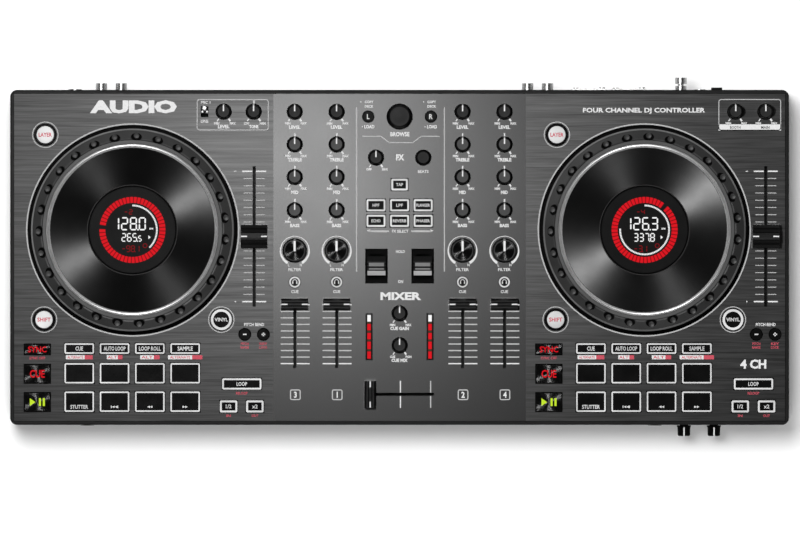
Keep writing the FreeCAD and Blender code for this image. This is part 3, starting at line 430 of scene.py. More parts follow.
def lettering(words, bold):
    """Points and faces of some words in the built-in font, and (left, right, bottom, top)."""
    key = (words, bold)
    if key not in LETTERS:
        curve = bpy.data.curves.new("letters", "FONT")
        curve.body = words
        curve.resolution_u = 2
        curve.offset = bold
        curve.extrude = 0.01
        thing = bpy.data.objects.new("letters", curve)
        bpy.context.scene.collection.objects.link(thing)
        bpy.context.view_layer.update()
        mesh = bpy.data.meshes.new_from_object(thing.evaluated_get(bpy.context.evaluated_depsgraph_get()))
        points = [tuple(vertex.co) for vertex in mesh.vertices]
        faces = [list(polygon.vertices) for polygon in mesh.polygons]
        xs = [point[0] for point in points]
        ys = [point[1] for point in points]
        LETTERS[key] = (points, faces, (min(xs), max(xs), min(ys), max(ys)))
        bpy.data.objects.remove(thing)
        bpy.data.meshes.remove(mesh)
        bpy.data.curves.remove(curve)
    return LETTERS[key]


class Ink(Pieces):
    """Marks printed on a flat face: every shape gets the same two levels."""

    def __init__(self, name, body, material, level, thick=INK_THICK):
        super().__init__(name, body, material)
        self.low = level - thick
        self.high = level + thick

    def mark(self, shape, *arguments, **options):
        getattr(self, shape)(*arguments, low=self.low, high=self.high, **options)

    def write(self, words, x, y, height, width=None, bold=0.02):
        self.text(words, x, y, height, width, bold, self.low, self.high)


# ---- symbols

def triangle(layer, x, y, width, height, facing=1):
    tip = x + facing * width / 2
    back = x - facing * width / 2
    points = [(back, y - height / 2), (tip, y), (back, y + height / 2)]
    layer.mark("prism", points if facing > 0 else points[::-1])


def skip_symbol(layer, x, y, size):
    """Bar and two triangles pointing left."""
    layer.mark("bar", x - 1.35 * size, y, 0.35 * size, size)
    triangle(layer, x - 0.55 * size, y, 1.1 * size, size, -1)
    triangle(layer, x + 0.6 * size, y, 1.1 * size, size, -1)
    layer.mark("bar", x + 1.35 * size, y, 0.35 * size, size)


def wind_symbol(layer, x, y, size, facing):
    triangle(layer, x - 0.55 * size, y, 1.1 * size, size, facing)
    triangle(layer, x + 0.55 * size, y, 1.1 * size, size, facing)


def headphones(layer, x, y, size):
    layer.mark("sector", x, y, size, size * 0.72, 0, 180, steps=12)
    for side in (-1, 1):
        layer.mark("bar", x + side * size * 0.85, y - size * 0.45, size * 0.5, size * 0.95)


SEGMENTS = {"0": "abcdef", "1": "bc", "2": "abged", "3": "abgcd", "4": "fgbc", "5": "afgcd",
            "6": "afgcde", "7": "abc", "8": "abcdefg", "9": "abcdfg", "-": "g", "s": "afgcd"}


def digit(layer, character, x, y, width, height, line):
    """One seven segment digit around (x, y)."""
    half_w, half_h, half_line = width / 2, height / 2, line / 2
    gap = line * 0.16
    flat = {"a": half_h, "g": 0, "d": -half_h}
    upright = {"b": (half_w, half_h / 2), "c": (half_w, -half_h / 2),
               "e": (-half_w, -half_h / 2), "f": (-half_w, half_h / 2)}
    for name in SEGMENTS[character]:
        if name in flat:
            tip = half_w - gap
            neck = tip - half_line
            points = [(-tip, 0), (-neck, -half_line), (neck, -half_line), (tip, 0),
                      (neck, half_line), (-neck, half_line)]
            across, up = 0, flat[name]
        else:
            tip = half_h / 2 - gap
            neck = tip - half_line
            points = [(0, -tip), (half_line, -neck), (half_line, neck), (0, tip),
                      (-half_line, neck), (-half_line, -neck)]
            across, up = upright[name]
        layer.mark("prism", [(x + across + px, y + up + py) for px, py in points])


def number(layer, characters, x, y, width, height, line, pitch):
    """A row of digits whose left edge is at x; a point takes no room of its own."""
    for character in characters:
        if character == ".":
            layer.mark("bar", x - pitch * 0.16, y - height / 2, line, line)
        elif character == "s":
            digit(layer, "s", x + width * 0.4, y - height * 0.15, width * 0.7, height * 0.7, line)
            x += pitch
        else:
            digit(layer, character, x + width / 2, y, width, height, line)
            x += pitch


# ---- jog wheels

# The sloping rim as (radius, height from the wheel's top).  Each dimple is the print of a sphere.
RIM_SLOPE = ((63.9, -0.9), (64.3, -0.2), (65.3, -0.1), (70.9, -2.5), (71.9, -3.9))
DIMPLES = 27
DIMPLE_TURN = 2.5
DIMPLE_PITCH = 67.2
DIMPLE_LEVEL = 4.5
DIMPLE_SPHERE = 6.6
DIMPLE_FLOOR = 2.0
DIMPLE_REACH = 4.0
DIMPLE_STEP = 0.1
DIMPLE_SKIN = 0.12
DIMPLE_SIDES = 24
LED_COUNT = 52
DISPLAY_TEXT = {"left": ("128.0", "265.s", "-2", "-98.1"), "right": ("126.3", "337.8", "-4", "-3.1")}
# Angles in degrees: the light that is off, and how far the white arc reaches.
DARK_LED = {"left": 178, "right": 51}
SWEEP = {"left": 138, "right": 274}
SWEEP_STEP = 3.6


def jog_wheel(side):
    """Spun disc, silver ring, grey ring and a pale ring painted on the outer edge as a highlight, outwards
    from the display.
    """
    body = f"{side}_jog_wheel"
    wheel = node_box(body)
    x, y, top = wheel.x, wheel.y, wheel.top
    disc = top - 0.7
    turned(f"{side}_platter_disc", body, "disc_spun", x, y,
           [(32.0, disc - 0.1), (32.2, disc + FACE_THICK), (58.3, disc + FACE_THICK), (58.4, disc - 0.1)])
    turned(f"{side}_trim_ring", body, "trim_silver", x, y,
           [(58.5, disc), (59.1, top + 0.1), (59.6, top + 0.3), (60.3, top + 0.3), (60.9, top + 0.1),
            (61.4, disc - 0.2)], smooth=60)
    turned(f"{side}_grey_ring", body, "ring_grey", x, y,
           [(61.5, disc - 0.3), (61.6, disc), (63.7, disc), (63.8, disc - 0.3)])
    # A pale ring on the rim's outer edge: a painted highlight of the light along that edge.
    turned(f"{side}_rim_highlight_edge", body, "rim_highlight_grey", x, y,
           [(70.9, top - 2.6), (71.1, top - 2.3), (71.8, top - 3.3), (72.1, top - 3.9), (71.8, top - 4.2)],
           smooth=60)


def rim_height(reach):
    """Height of the sloping rim above or below the top of the wheel."""
    for (near, start), (far, end) in zip(RIM_SLOPE, RIM_SLOPE[1:]):
        if reach <= far:
            return start + (end - start) * (reach - near) / (far - near)
    return RIM_SLOPE[-1][1]


def dimple_height(reach):
    """Height of a dimple's floor, this far from its middle, from the top of the wheel."""
    return DIMPLE_LEVEL - math.sqrt(DIMPLE_SPHERE ** 2 - reach ** 2)


def shade_dimples(side):
    """A black ring painted round the foot of every finger dimple: painted shade in the hollow."""
    body = f"{side}_jog_wheel"
    wheel = node_box(body)
    # Painted shade: one dark ring laid in each dimple.
    shade_lining = Pieces(f"{side}_dimple_painted_shade", body, "hollow_shade_black")
    for turn in range(DIMPLES):
        angle = math.radians(90 - DIMPLE_TURN + turn * 360 / DIMPLES)
        middle = Vector((math.cos(angle), math.sin(angle))) * DIMPLE_PITCH
        loops = []
        for way in range(DIMPLE_SIDES):
            facing = math.radians(way * 360 / DIMPLE_SIDES)
            out = Vector((math.cos(facing), math.sin(facing)))
            edge = DIMPLE_FLOOR
            while (edge <= DIMPLE_REACH
                   and rim_height((middle + out * edge).length) >= dimple_height(edge) + DIMPLE_SKIN):
                edge += DIMPLE_STEP
            loop = []
            for reach, lift in ((DIMPLE_FLOOR, 0.02), (DIMPLE_FLOOR, 0.06), (edge, 0.1), (edge, 0.02)):
                place = middle + out * reach
                loop.append((wheel.x + place.x, wheel.y + place.y,
                             wheel.top + dimple_height(reach) + lift))
            loops.append(loop)
        shade_lining.hoop(loops)
    shade_lining.finish()


def display(side, post):
    """The still centre: matte window, ring of lights and figures."""
    x, y, top = post.x, post.y, post.top
    turned(f"{side}_display_window", "case", "display_black", x, y,
           [(0.01, top - 0.3), (0.01, top + 0.1), (30.0, top + 0.1), (30.4, top - 0.3)], 128)
    level = top + 0.1
    red = Ink(f"{side}_display_red", "case", "light_red", level, 0.05)
    dim = Ink(f"{side}_display_dim", "case", "light_dim", level, 0.03)
    pitch = 360 / LED_COUNT
    for step in range(LED_COUNT):
        middle = step * pitch + 1.5
        if abs(middle - DARK_LED[side]) > pitch / 2:
            red.mark("sector", x, y, 23.5, 19.2, middle - pitch * 0.37, middle + pitch * 0.37)
            dim.mark("sector", x, y, 23.4, 19.3, middle - pitch * 0.5, middle + pitch * 0.5)
    white = Ink(f"{side}_display_white", "case", "light_white", level, 0.05)
    for step in range(int(SWEEP[side] / SWEEP_STEP)):
        start = 90 - step * SWEEP_STEP
        white.mark("sector", x, y, 18.0, 16.8, start - 2.8, start, steps=2)
    large, small, upper, lower = DISPLAY_TEXT[side]
    number(white, large, x - 13.9, y + 4.4, 4.1, 8.4, 1.0, 6.3)
    number(white, small, x - 7.4, y - 5.3, 2.6, 5.4, 0.75, 3.9)
    white.write("BPM", x + 13.4, y + 0.9, 1.3)
    triangle(white, x + 12.2, y - 5.2, 1.6, 2.6)
    number(dim, upper, x - 5.6, y + 12.8, 2.2, 3.2, 0.55, 3.3)
    number(dim, lower, x - 7.4, y - 13.4, 2.3, 4.2, 0.55, 3.3)
    dim.mark("ring", x + 9.0, y - 11.2, 1.7, 1.2, steps=12)
    for layer in (dim, red, white):
        layer.finish()


# ---- knobs, faders, paddles

# Radius of the flat top of each kind of knob.
GRIPS = {"filter": 7.3, "browse": 7.4, "mic_two": 4.4}
GRIP = 4.5
# The stepped top of a cap as (share of its radius, height).
CAP_STEPS = ((0.01, 0.02), (0.3, 0.1), (0.34, 0.02), (0.62, 0.1), (0.66, 0.02), (0.96, 0.1))
POINTERLESS = ("browse_knob", "effect_beats_knob")


def turned_profile(layer, place, points, half_width, thick=0.14):
    """A strip that follows a profile of (out, up) from the axis outwards."""
    vertices = []
    for out, up in points:
        for side in (-1, 1):
            vertices.append(place @ Vector((side * half_width, out, up - 0.25)))
            vertices.append(place @ Vector((side * half_width, out + thick * 0.4, up + thick)))
    last = 4 * len(points) - 4
    faces = [[0, 1, 3, 2], [last, last + 2, last + 3, last + 1]]
    for step in range(len(points) - 1):
        a = 4 * step
        b = a + 4
        faces += [[a, b, b + 1, a + 1], [a + 2, a + 3, b + 3, b + 2],
                  [a + 1, b + 1, b + 3, a + 3], [a, a + 2, b + 2, b]]
    layer.add([tuple(vertex) for vertex in vertices], faces)


def knob(node):
    """White pointer line, a dished cap and, on the filter knobs, a turned metal face."""
    box = node_box(node)
    grip = next((size for key, size in GRIPS.items() if key in node), GRIP)
    front = node.startswith("mic_two")
    if front:
        place = Matrix.Translation((box.x, box.low.y, box.z)) @ Matrix.Rotation(math.radians(90), 4, "X")
        bottom = -7.6
    else:
        place = Matrix.Translation((box.x, box.y, box.top))
        bottom = 10 - box.height
    if node not in POINTERLESS:
        line = Pieces(node + "_pointer", node, "print_white")
        half = 0.75 if "filter" in node else 0.45
        start = -0.6 if "filter" in node else 0.2
        turned_profile(line, place, [(start, 0), (grip - 0.7, 0), (grip, -0.7),
                                     (box.width / 2 - 0.45, bottom + 1.4)], half)
        line.finish()
    if not front and "filter" not in node:
        tone = "knob_top" if any(row in node for row in ("treble", "mid", "bass")) else "knob_dark"
        edge = grip - 0.5
        profile = [(0.01, box.top - 0.3)]
        profile += [(ring * edge + 0.01, box.top + lift) for ring, lift in CAP_STEPS]
        profile += [(edge, box.top - 0.1), (edge, box.top - 0.5)]
        turned(node + "_cap", node, tone, box.x, box.y, profile, 64, smooth=20)
    if "filter" in node:
        turned(node + "_ring", node, "ring_grey", box.x, box.y,
               [(7.0, box.top - 0.3), (7.05, box.top + 0.12), (7.25, box.top + 0.12),
                (7.4, box.top - 0.2)], 64, smooth=40)
        turned(node + "_face", node, "face_spun", box.x, box.y,
               [(0.02, box.top - 0.3), (0.02, box.top + 0.05), (6.9, box.top + 0.05),
                (6.95, box.top - 0.3)], 64, smooth=20)


def fader(node, along_x):
    """Two short white lines across the dip of a fader cap."""
    box = node_box(node)
    across = box.width if along_x else box.depth
    marks = Ink(node + "_marks", node, "print_white", box.top - 1.05, 0.12)
    for side in (-1, 1):
        offset = side * (across / 2 - 2.3)
        if along_x:
            marks.mark("bar", box.x + offset, box.y, 4.2, 0.9)
        else:
            marks.mark("bar", box.x, box.y + offset, 0.9, 4.2)
    marks.finish()


# The paddle's sloping lip and its ridges: places from its middle, heights from its pivot.
PADDLE_PIVOT = PANEL - 8.0
PADDLE_LIP = ((-3.5, 17.75), (-6.65, 13.75))
PADDLE_RIDGES = ((2.3, -0.3), (-1.5, -2.7))


def paddle(side):
    """Silver lip and grey ridges on an effect paddle."""
    node = f"{side}_effect_paddle"
    box = node_box(node)
    plate = Pieces(node + "_edge", node, "paddle_silver")
    half = box.width / 2 - 0.1
    vertices = []
    for thick in (-0.2, 0.15):
        for out, up in PADDLE_LIP:
            for end in (-1, 1):
                vertices.append((box.x + end * half, box.y + out - thick * 0.4, PADDLE_PIVOT + up + thick))
    plate.add(vertices, [[0, 1, 3, 2], [4, 6, 7, 5], [0, 4, 5, 1], [2, 3, 7, 6], [0, 2, 6, 4], [1, 5, 7, 3]])
    plate.finish(bevel=0.1)
    ridges = Pieces(node + "_ridges", node, "paddle_grey")
    for rear, front in PADDLE_RIDGES:
        ridges.prism(rounded(box.x, box.y + (rear + front) / 2, 2 * half - 2.0, rear - front, 0.2),
                     PADDLE_PIVOT + 17.2, PADDLE_PIVOT + 17.5)
    ridges.finish(bevel=0.1)


# ---- print round knobs

SCALE_RADIUS = 5.8
SCALE_TURN = 145
SCALE_BOLD = 0.045


def knob_scale(layer, knob, low="MIN", high="MAX", title=None, centre=False, title_drop=10.9):
    """End ticks, end words and a title round a knob."""
    x, y = knob.x, knob.y
    for side, thick in ((-1, 0.75), (1, 1.25)):
        angle = math.radians(90 - side * SCALE_TURN)
        out = Vector((math.cos(angle), math.sin(angle)))
        start = Vector((x, y)) + out * (SCALE_RADIUS + 0.4)
        end = Vector((x, y)) + out * (SCALE_RADIUS + 2.4)
        normal = Vector((-out.y, out.x)) * thick / 2
        layer.mark("prism", [tuple(corner) for corner in (
            start + normal, end + normal, end - normal, start - normal)])
    words_y = y - SCALE_RADIUS - 2.5
    layer.write(low, x - 5.0, words_y, 1.8, 3.8, SCALE_BOLD)
    layer.write(high, x + 6.4, words_y, 1.8, 4.2, SCALE_BOLD)
    if title:
        layer.write(title, x, y - title_drop, 2.5, 1.65 * len(title), SCALE_BOLD)
    if centre:
        layer.mark("bar", x + 0.1, y + SCALE_RADIUS + 1.1, 0.95, 2.2)


def tapered_arc(layer, x, y, radius, reach, thin, thick, steps=40):
    """An arc over the top of a knob that grows thicker towards both ends."""
    outlines = []
    for side in (1, -1):
        outline = []
        for step in range(steps, -1, -1):
            turn = -reach + 2 * reach * step / steps
            line = thin + (thick - thin) * (abs(turn) / reach) ** 2
            angle = math.radians(90 - turn)
            away = radius + side * line / 2
            outline.append((x + away * math.cos(angle), y + away * math.sin(angle)))
        outlines.append(outline)
    layer.mark("band", *outlines, closed=False)


# ---- decks

# Widths by which the keys are told apart.
LOOP_KEY = 28.0
LIT_KEY = 18.6
ROUND_KEY = 15.2
EFFECT_KEY = 13.5
SQUARE_KEY = 12.5
TAP_KEY = 11.8
BEND_KEY = 8.4

ALTERNATE_WIDTHS = (19.0, 11.2, 13.8, 24.4)
PITCH_LINES = 19
PITCH_REACH = 46.4
PITCH_STEP = 5.155


def keys_wide(keys, width):
    return [key for key in keys if abs(key.width - width) < 0.2]


def left_to_right(boxes):
    return sorted(boxes, key=lambda box: box.x)


def rear_to_front(boxes):
    return sorted(boxes, key=lambda box: -box.y)


def deck_print(side):
    """Everything printed on one deck panel."""
    wheel = node_box(f"{side}_jog_wheel")
    x, y = wheel.x, wheel.y
    white = Ink(f"{side}_deck_print", "case", "print_white", PANEL)
    pale = Ink(f"{side}_deck_grey_print_and_highlight", "case", "print_grey", PANEL)
    red = Ink(f"{side}_deck_red_print", "case", "print_red", PANEL)
    # The pale ring round the jog wheel's well is a painted highlight on the well's edge; the rest of this
    # layer is grey print.
    pale.mark("ring", x, y, 75.9, 75.0, steps=192)
    keys = solids_of(f"{side}_deck_buttons")
    for key in keys_wide(keys, ROUND_KEY):
        pale.mark("ring", key.x, key.y, 9.35, 8.75, steps=64)
    pitch = node_box(f"{side}_pitch_fader")
    for step in range(PITCH_LINES):
        layer, width, line = (white, 17.0, 0.95) if step in (0, PITCH_LINES - 1) else (pale, 15.0, 0.55)
        for way in (-1, 1):
            layer.mark("bar", pitch.x + way * (width / 4 + 0.7), pitch.y + PITCH_REACH - step * PITCH_STEP,
                       width / 2 - 1.4, line)
    white.write("-", pitch.x - 13.5, pitch.y + PITCH_REACH, 0.5, 1.5)
    white.write("+", pitch.x - 13.5, pitch.y - PITCH_REACH, 1.4)
    bends = keys_wide(keys, BEND_KEY)
    middle = (bends[0].x + bends[1].x) / 2
    white.write("PITCH BEND", middle, bends[0].y + 7.0, 2.3, 14.2)
    for key, words in zip(bends, (("PITCH", "RANGE"), ("KEY", "LOCK"))):
        red.write(words[0], key.x, key.y - 6.7, 1.8, 5.6)
        red.write(words[1], key.x, key.y - 9.3, 1.8, 5.8)
    for key, word in zip(left_to_right(keys_wide(keys, SQUARE_KEY)), ("IN", "OUT")):
        red.write(word, key.x, key.y - 6.6, 1.8, 1.6 * len(word))
    loop, = keys_wide(keys, LOOP_KEY)
    red.write("RELOOP", loop.x, loop.y - 6.6, 1.9, 8.2)
    sync = rear_to_front(keys_wide(keys, LIT_KEY))[0]
    red.write("SYNC OFF", sync.x, sync.y - 6.2, 2.0, 11.2)
    modes = [pad for pad in solids_of(f"{side}_pads") if pad.depth < 10]
    labels = Ink(f"{side}_label_backs", "case", "print_white", PANEL)
    letters = Ink(f"{side}_label_letters", "case", "print_red", PANEL + OVERPRINT)
    for pad, width in zip(modes, ALTERNATE_WIDTHS):
        cy = pad.y - 6.2
        backed = width * 0.7
        middle = pad.x - (width - backed) / 2
        labels.mark("bar", middle, cy, backed, 2.9)
        red.mark("bar", pad.x + backed / 2, cy, width - backed, 2.9)
        letters.write("ALTERNATE" if width > 15 else "ALT", middle, cy, 1.9, backed * 0.85)
    labels.finish()
    letters.finish()
    if side == "left":
        microphone_print(white, pale)
        white.write("AUDIO", x + 0.5, y + 87.7, 9.4, 62, 0.06)
    else:
        output_print(white, pale)
        white.write("FOUR CHANNEL DJ CONTROLLER", x - 0.2, y + 84.8, 4.4, 87, 0.03)
        white.write("4 CH", loop.x - 0.1, loop.y + 14.1, 6.6, 18.5, 0.04)
    for layer in (white, pale, red):
        layer.finish()


def microphone_print(white, pale):
    """The framed group of two knobs and a toggle."""
    level, tone = node_box("mic_level_knob"), node_box("mic_tone_knob")
    toggle = node_box("input_toggle")
    pale.mark("frame", level.x + 6.4, level.y - 2.2, 51.2, 22.2, 0.6, 2.0)
    white.write("MIC 1", toggle.x + 0.8, level.y + 6.6, 2.0, 6.6)
    white.write("LINE", toggle.x, level.y - 6.7, 2.2, 5.4)
    knob_scale(white, level, title="LEVEL", title_drop=10.6)
    knob_scale(white, tone, low="LOW", high="HIGH", title="TONE", centre=True, title_drop=10.6)


def output_print(white, pale):
    """The framed pair of output knobs, with black words on a white bar."""
    booth = node_box("booth_knob")
    middle = booth.x + 10.3
    pale.mark("frame", middle, booth.y - 2.2, 44.6, 22.4, 0.6, 2.0)
    white.mark("bar", middle, booth.y - 11.2, 44.4, 4.4)
    black = Ink("output_letters", "case", "print_black", PANEL + OVERPRINT)
    for box, title in ((booth, "BOOTH"), (node_box("main_knob"), "MAIN")):
        knob_scale(white, box)
        black.write(title, box.x, booth.y - 11.2, 2.0, 1.5 * len(title))
    black.finish()


def square_key(layer, key, line, word=None, letter=0, width=None):
    """White border and word on a rectangular cap."""
    layer.mark("frame", key.x, key.y, key.width - 0.1, key.depth - 0.1, line, 1.1)
    if word:
        layer.write(word, key.x, key.y, letter, width)


def pad_caps(side):
    """Borders, words and symbols on the pads and the four keys above them."""
    body = f"{side}_pads"
    pads = solids_of(body)
    border = Ink(f"{side}_pad_borders", body, "cap_white", pads[0].top, 0.1)
    modes = [pad for pad in pads if pad.depth < 10]
    large = [pad for pad in pads if pad.depth > 10]
    for pad, word in zip(modes, ("CUE", "AUTO LOOP", "LOOP ROLL", "SAMPLE")):
        square_key(border, pad, 1.0, word, 3.0, width=min(1.8 * len(word), 15.5))
    for pad in large:
        square_key(border, pad, 1.0)
    stutter, skip, back, forward = large[4:]
    foot = stutter.y - 3.7
    border.write("STUTTER", stutter.x, foot, 2.8, 12.6)
    skip_symbol(border, skip.x, foot, 1.7)
    wind_symbol(border, back.x, foot, 1.7, -1)
    wind_symbol(border, forward.x, foot, 1.7, 1)
    border.finish()


def deck_caps(side):
    """Borders, words and symbols on the other keys of one deck."""
    body = f"{side}_deck_buttons"
    keys = solids_of(body)
    top = keys[0].top
    white = Ink(f"{side}_key_borders", body, "cap_white", top, 0.1)
    red = Ink(f"{side}_key_letters", body, "print_red", top + 0.45, 0.1)
    loop, = keys_wide(keys, LOOP_KEY)
    square_key(white, loop, 1.2, "LOOP", 2.8, width=7.4)
    for key, word in zip(left_to_right(keys_wide(keys, SQUARE_KEY)), ("1/2", "x2")):
        square_key(white, key, 1.35, word, 2.8, width=4.0)
    *whites, scratch = left_to_right(keys_wide(keys, ROUND_KEY))
    white.mark("ring", scratch.x, scratch.y, 7.45, 5.7, steps=64)
    white.write("VINYL", scratch.x, scratch.y, 2.6, 9.6)
    for key, word in zip(rear_to_front(whites), ("LAYER", "SHIFT")):
        turned(f"{side}_{word.lower()}_dome", body, "cap_white", key.x, key.y,
               [(0.01, top - 0.2), (0.01, top + 0.45), (3.5, top + 0.4), (5.4, top + 0.25), (6.1, top),
                (6.25, top - 0.2)], 64, smooth=50)
        red.write(word, key.x, key.y, 2.9, 9.4)
    for key, sign in zip(keys_wide(keys, BEND_KEY), ("-", "+")):
        white.mark("bar", key.x, key.y, 2.6, 0.9)
        if sign == "+":
            white.mark("bar", key.x, key.y, 0.9, 2.6)
    white.finish()
    red.finish()
    lit_keys(side, body, keys)


def lit_keys(side, body, keys):
    """Sync, cue and play: turned black faces with lit words and symbols."""
    column = rear_to_front(keys_wide(keys, LIT_KEY))
    sync, cue, play = column
    top = sync.top
    for key, name in zip(column, ("sync", "cue", "play")):
        face = Pieces(f"{side}_{name}_face", body, "face_spun")
        face.prism(rounded(key.x, key.y, key.width - 1.0, key.depth - 1.0, 0.6), top - 0.2, top + FACE_THICK)
        face.finish()
    level = top + FACE_THICK
    red = Ink(f"{side}_lit_words", body, "light_red", level, 0.05)
    red.write("SYNC", sync.x, sync.y, 4.3, 13.2)
    red.write("CUE", cue.x, cue.y, 5.6, 10.6)
    red.finish()
    green = Ink(f"{side}_play_symbol", body, "light_green", level, 0.05)
    triangle(green, play.x - 3.3, play.y, 4.0, 5.6)
    for offset in (1.9, 4.7):
        green.mark("bar", play.x + offset, play.y, 1.5, 5.6)
    green.finish()


# ---- mixer

FADER_LINES = 10
FADER_STEP = 4.655
EFFECTS = ("HPF", "LPF", "FLANGER", "ECHO", "REVERB", "PHASER")
DIVIDERS = (-30.6, 31.9)
# The line under the browse knob, as places from its middle.
BROWSE_LINE = ((-26.5, -14.0), (-13.4, -14.0), (-7.3, -18.5), (9.3, -18.5), (15.6, -14.0), (28.5, -14.0))


def mixer_print():
    """Everything printed on the mixer panel."""
    slider = node_box("crossfader")
    white = Ink("mixer_print", "case", "print_white", PANEL)
    pale = Ink("mixer_lines", "case", "print_grey", PANEL)
    for strip, channel in zip(STRIPS, "3124"):
        for row in ("level", "treble", "mid", "bass"):
            knob_scale(white, node_box(f"{strip}_{row}_knob"), title=row.upper(), centre=row != "level")
        box = node_box(f"{strip}_filter_knob")
        tapered_arc(white, box.x, box.y, 10.2, 150, 0.4, 1.9)
        for side, word in ((-1, "L"), (1, "H")):
            white.write(word, box.x + side * 4.3, box.y - 10.3, 2.0)
        white.write("FILTER", box.x, box.y - 13.6, 2.1, 9.0)
        white.write("CUE", box.x, box.y - 29.3, 2.1, 5.2)
        cap = node_box(f"{strip}_fader")
        for line in range(FADER_LINES):
            cy = cap.y - 0.35 - line * FADER_STEP
            layer = white if line in (0, FADER_LINES - 1) else pale
            for way in (-1, 1):
                layer.mark("bar", cap.x + 0.3 + way * 5.75, cy, 9.1, 0.85)
        pale.mark("frame", cap.x + 0.4, slider.y - 0.3, 7.6, 7.6, 0.75, 1.4)
        white.write(channel, cap.x + 0.4, slider.y - 0.3, 4.4, bold=0.03)
    for name, low, high in (("cue_gain", "MIN", "MAX"), ("cue_mix", "CUE", "PGM")):
        knob_scale(white, node_box(f"{name}_knob"), low, high, name.replace("_", " ").upper(),
                   title_drop=10.8)
    centre_print(white, pale)
    for step, layer in ((0, pale), (21.5, white), (43, pale)):
        for way in (-1, 1):
            layer.mark("bar", slider.x + step, slider.y + way * 5.4, 0.8, 8.4)
    white.finish()
    pale.finish()


def centre_print(white, pale):
    """The column between the two pairs of strips."""
    browse, level = node_box("browse_knob"), node_box("effect_level_knob")
    beats, paddle_box = node_box("effect_beats_knob"), node_box("left_effect_paddle")
    caps = solids_of("mixer_buttons")
    x = browse.x
    knob_scale(white, level, low="OFF", high="MAX")
    white.write("BEATS", beats.x, beats.y - 9.9, 2.1, 7.6)
    white.write("FX", x + 0.4, level.y + 0.2, 4.4, 5.8, 0.05)
    white.write("BROWSE", x + 0.2, browse.y - 12.5, 3.2, 13.6, 0.04)
    for load in load_keys(caps):
        for word, shift, up, height, width, bold in (
                ("COPY", 0.6, 10.5, 1.9, 6.2, 0.03), ("DECK", 0.6, 7.3, 1.9, 6.2, 0.03),
                ("LOAD", 0.8, -7.2, 2.5, 7.2, 0.04)):
            white.write(word, load.x + shift, browse.y + up, height, width, bold)
        for shift, up in ((-5.2, 10.5), (-4.2, -7.2)):
            white.mark("bar", load.x + shift, browse.y + up, 0.7, 0.7)
    for shift in DIVIDERS:
        pale.mark("bar", x + shift, node_box("mixer_panel").y + 48.4, 0.75, 117.0)
    outline = [Vector((x + px, browse.y + py)) for px, py in BROWSE_LINE]
    for start, end in zip(outline, outline[1:]):
        slope = (end - start).normalized() * 0.1
        normal = Vector((-slope.y, slope.x)) * 3.2
        pale.mark("prism", [tuple(corner) for corner in (
            start - slope - normal, end + slope - normal, end + slope + normal, start - slope + normal)])
    foot = keys_wide(caps, EFFECT_KEY)[-1].y - 7.4
    white.write("FX SELECT", x + 0.4, foot, 2.1, 11.6)
    for way in (-1, 1):
        pale.mark("bar", x + 0.4 + way * 15.0, foot, 14.0, 1.3)
        triangle(white, x + 0.4 + way * 22.6, foot + 0.4, 2.4, 2.0, way)
    white.write("HOLD", x + 0.6, paddle_box.y + 10.3, 2.1, 6.4)
    white.write("ON", x + 0.7, paddle_box.y - 11.1, 2.2, 3.6)
    white.write("MIXER", x + 0.9, paddle_box.y - 21.5, 5.6, 29.0, 0.045)


def round_keys(caps):
    return [cap for cap in caps if abs(cap.width - cap.depth) < 0.1]


def load_keys(caps):
    """The two round keys beside the browse knob."""
    return left_to_right(cap for cap in round_keys(caps) if cap.y > 60)


def mixer_caps():
    """Borders, words and symbols on the mixer's keys."""
    caps = solids_of("mixer_buttons")
    border = Ink("mixer_key_borders", "mixer_buttons", "cap_white", caps[0].top, 0.1)
    tap, = keys_wide(caps, TAP_KEY)
    square_key(border, tap, 1.3, "TAP", 2.2, width=5.0)
    for cap, word in zip(keys_wide(caps, EFFECT_KEY), EFFECTS):
        square_key(border, cap, 1.2, word, 2.2, width=min(1.6 * len(word), 9.6))
    for cap, word in zip(load_keys(caps), "LR"):
        border.write(word, cap.x, cap.y, 3.6)
    for cap in (cap for cap in round_keys(caps) if cap.y < 0):
        border.mark("ring", cap.x, cap.y, cap.width / 2, 2.85, steps=48)
        headphones(border, cap.x, cap.y + 0.3, 1.7)
    border.finish()


# The lights of a level meter from the rear, with the length of each.
METER_PLAN = (("light_white", 5.0), ("light_off", 1.4), ("light_red", 4.8), ("light_off", 1.6),
              ("light_red", 4.8), ("light_off", 1.4), ("light_red", 5.6), ("light_off", 1.4),
              ("light_red", 5.4))


def level_meter(name, box):
    """A dark window with a column of lights."""
    for material in ("light_white", "light_off", "light_red"):
        layer = Ink(f"{name}_{material}", "case", material, box.top, 0.06)
        y = box.high.y - 0.8
        for kind, length in METER_PLAN:
            if kind == material:
                layer.mark("bar", box.x, y - length / 2, 2.5, length - 0.25)
            y -= length
        layer.finish()


JOG_GAP = 2.85


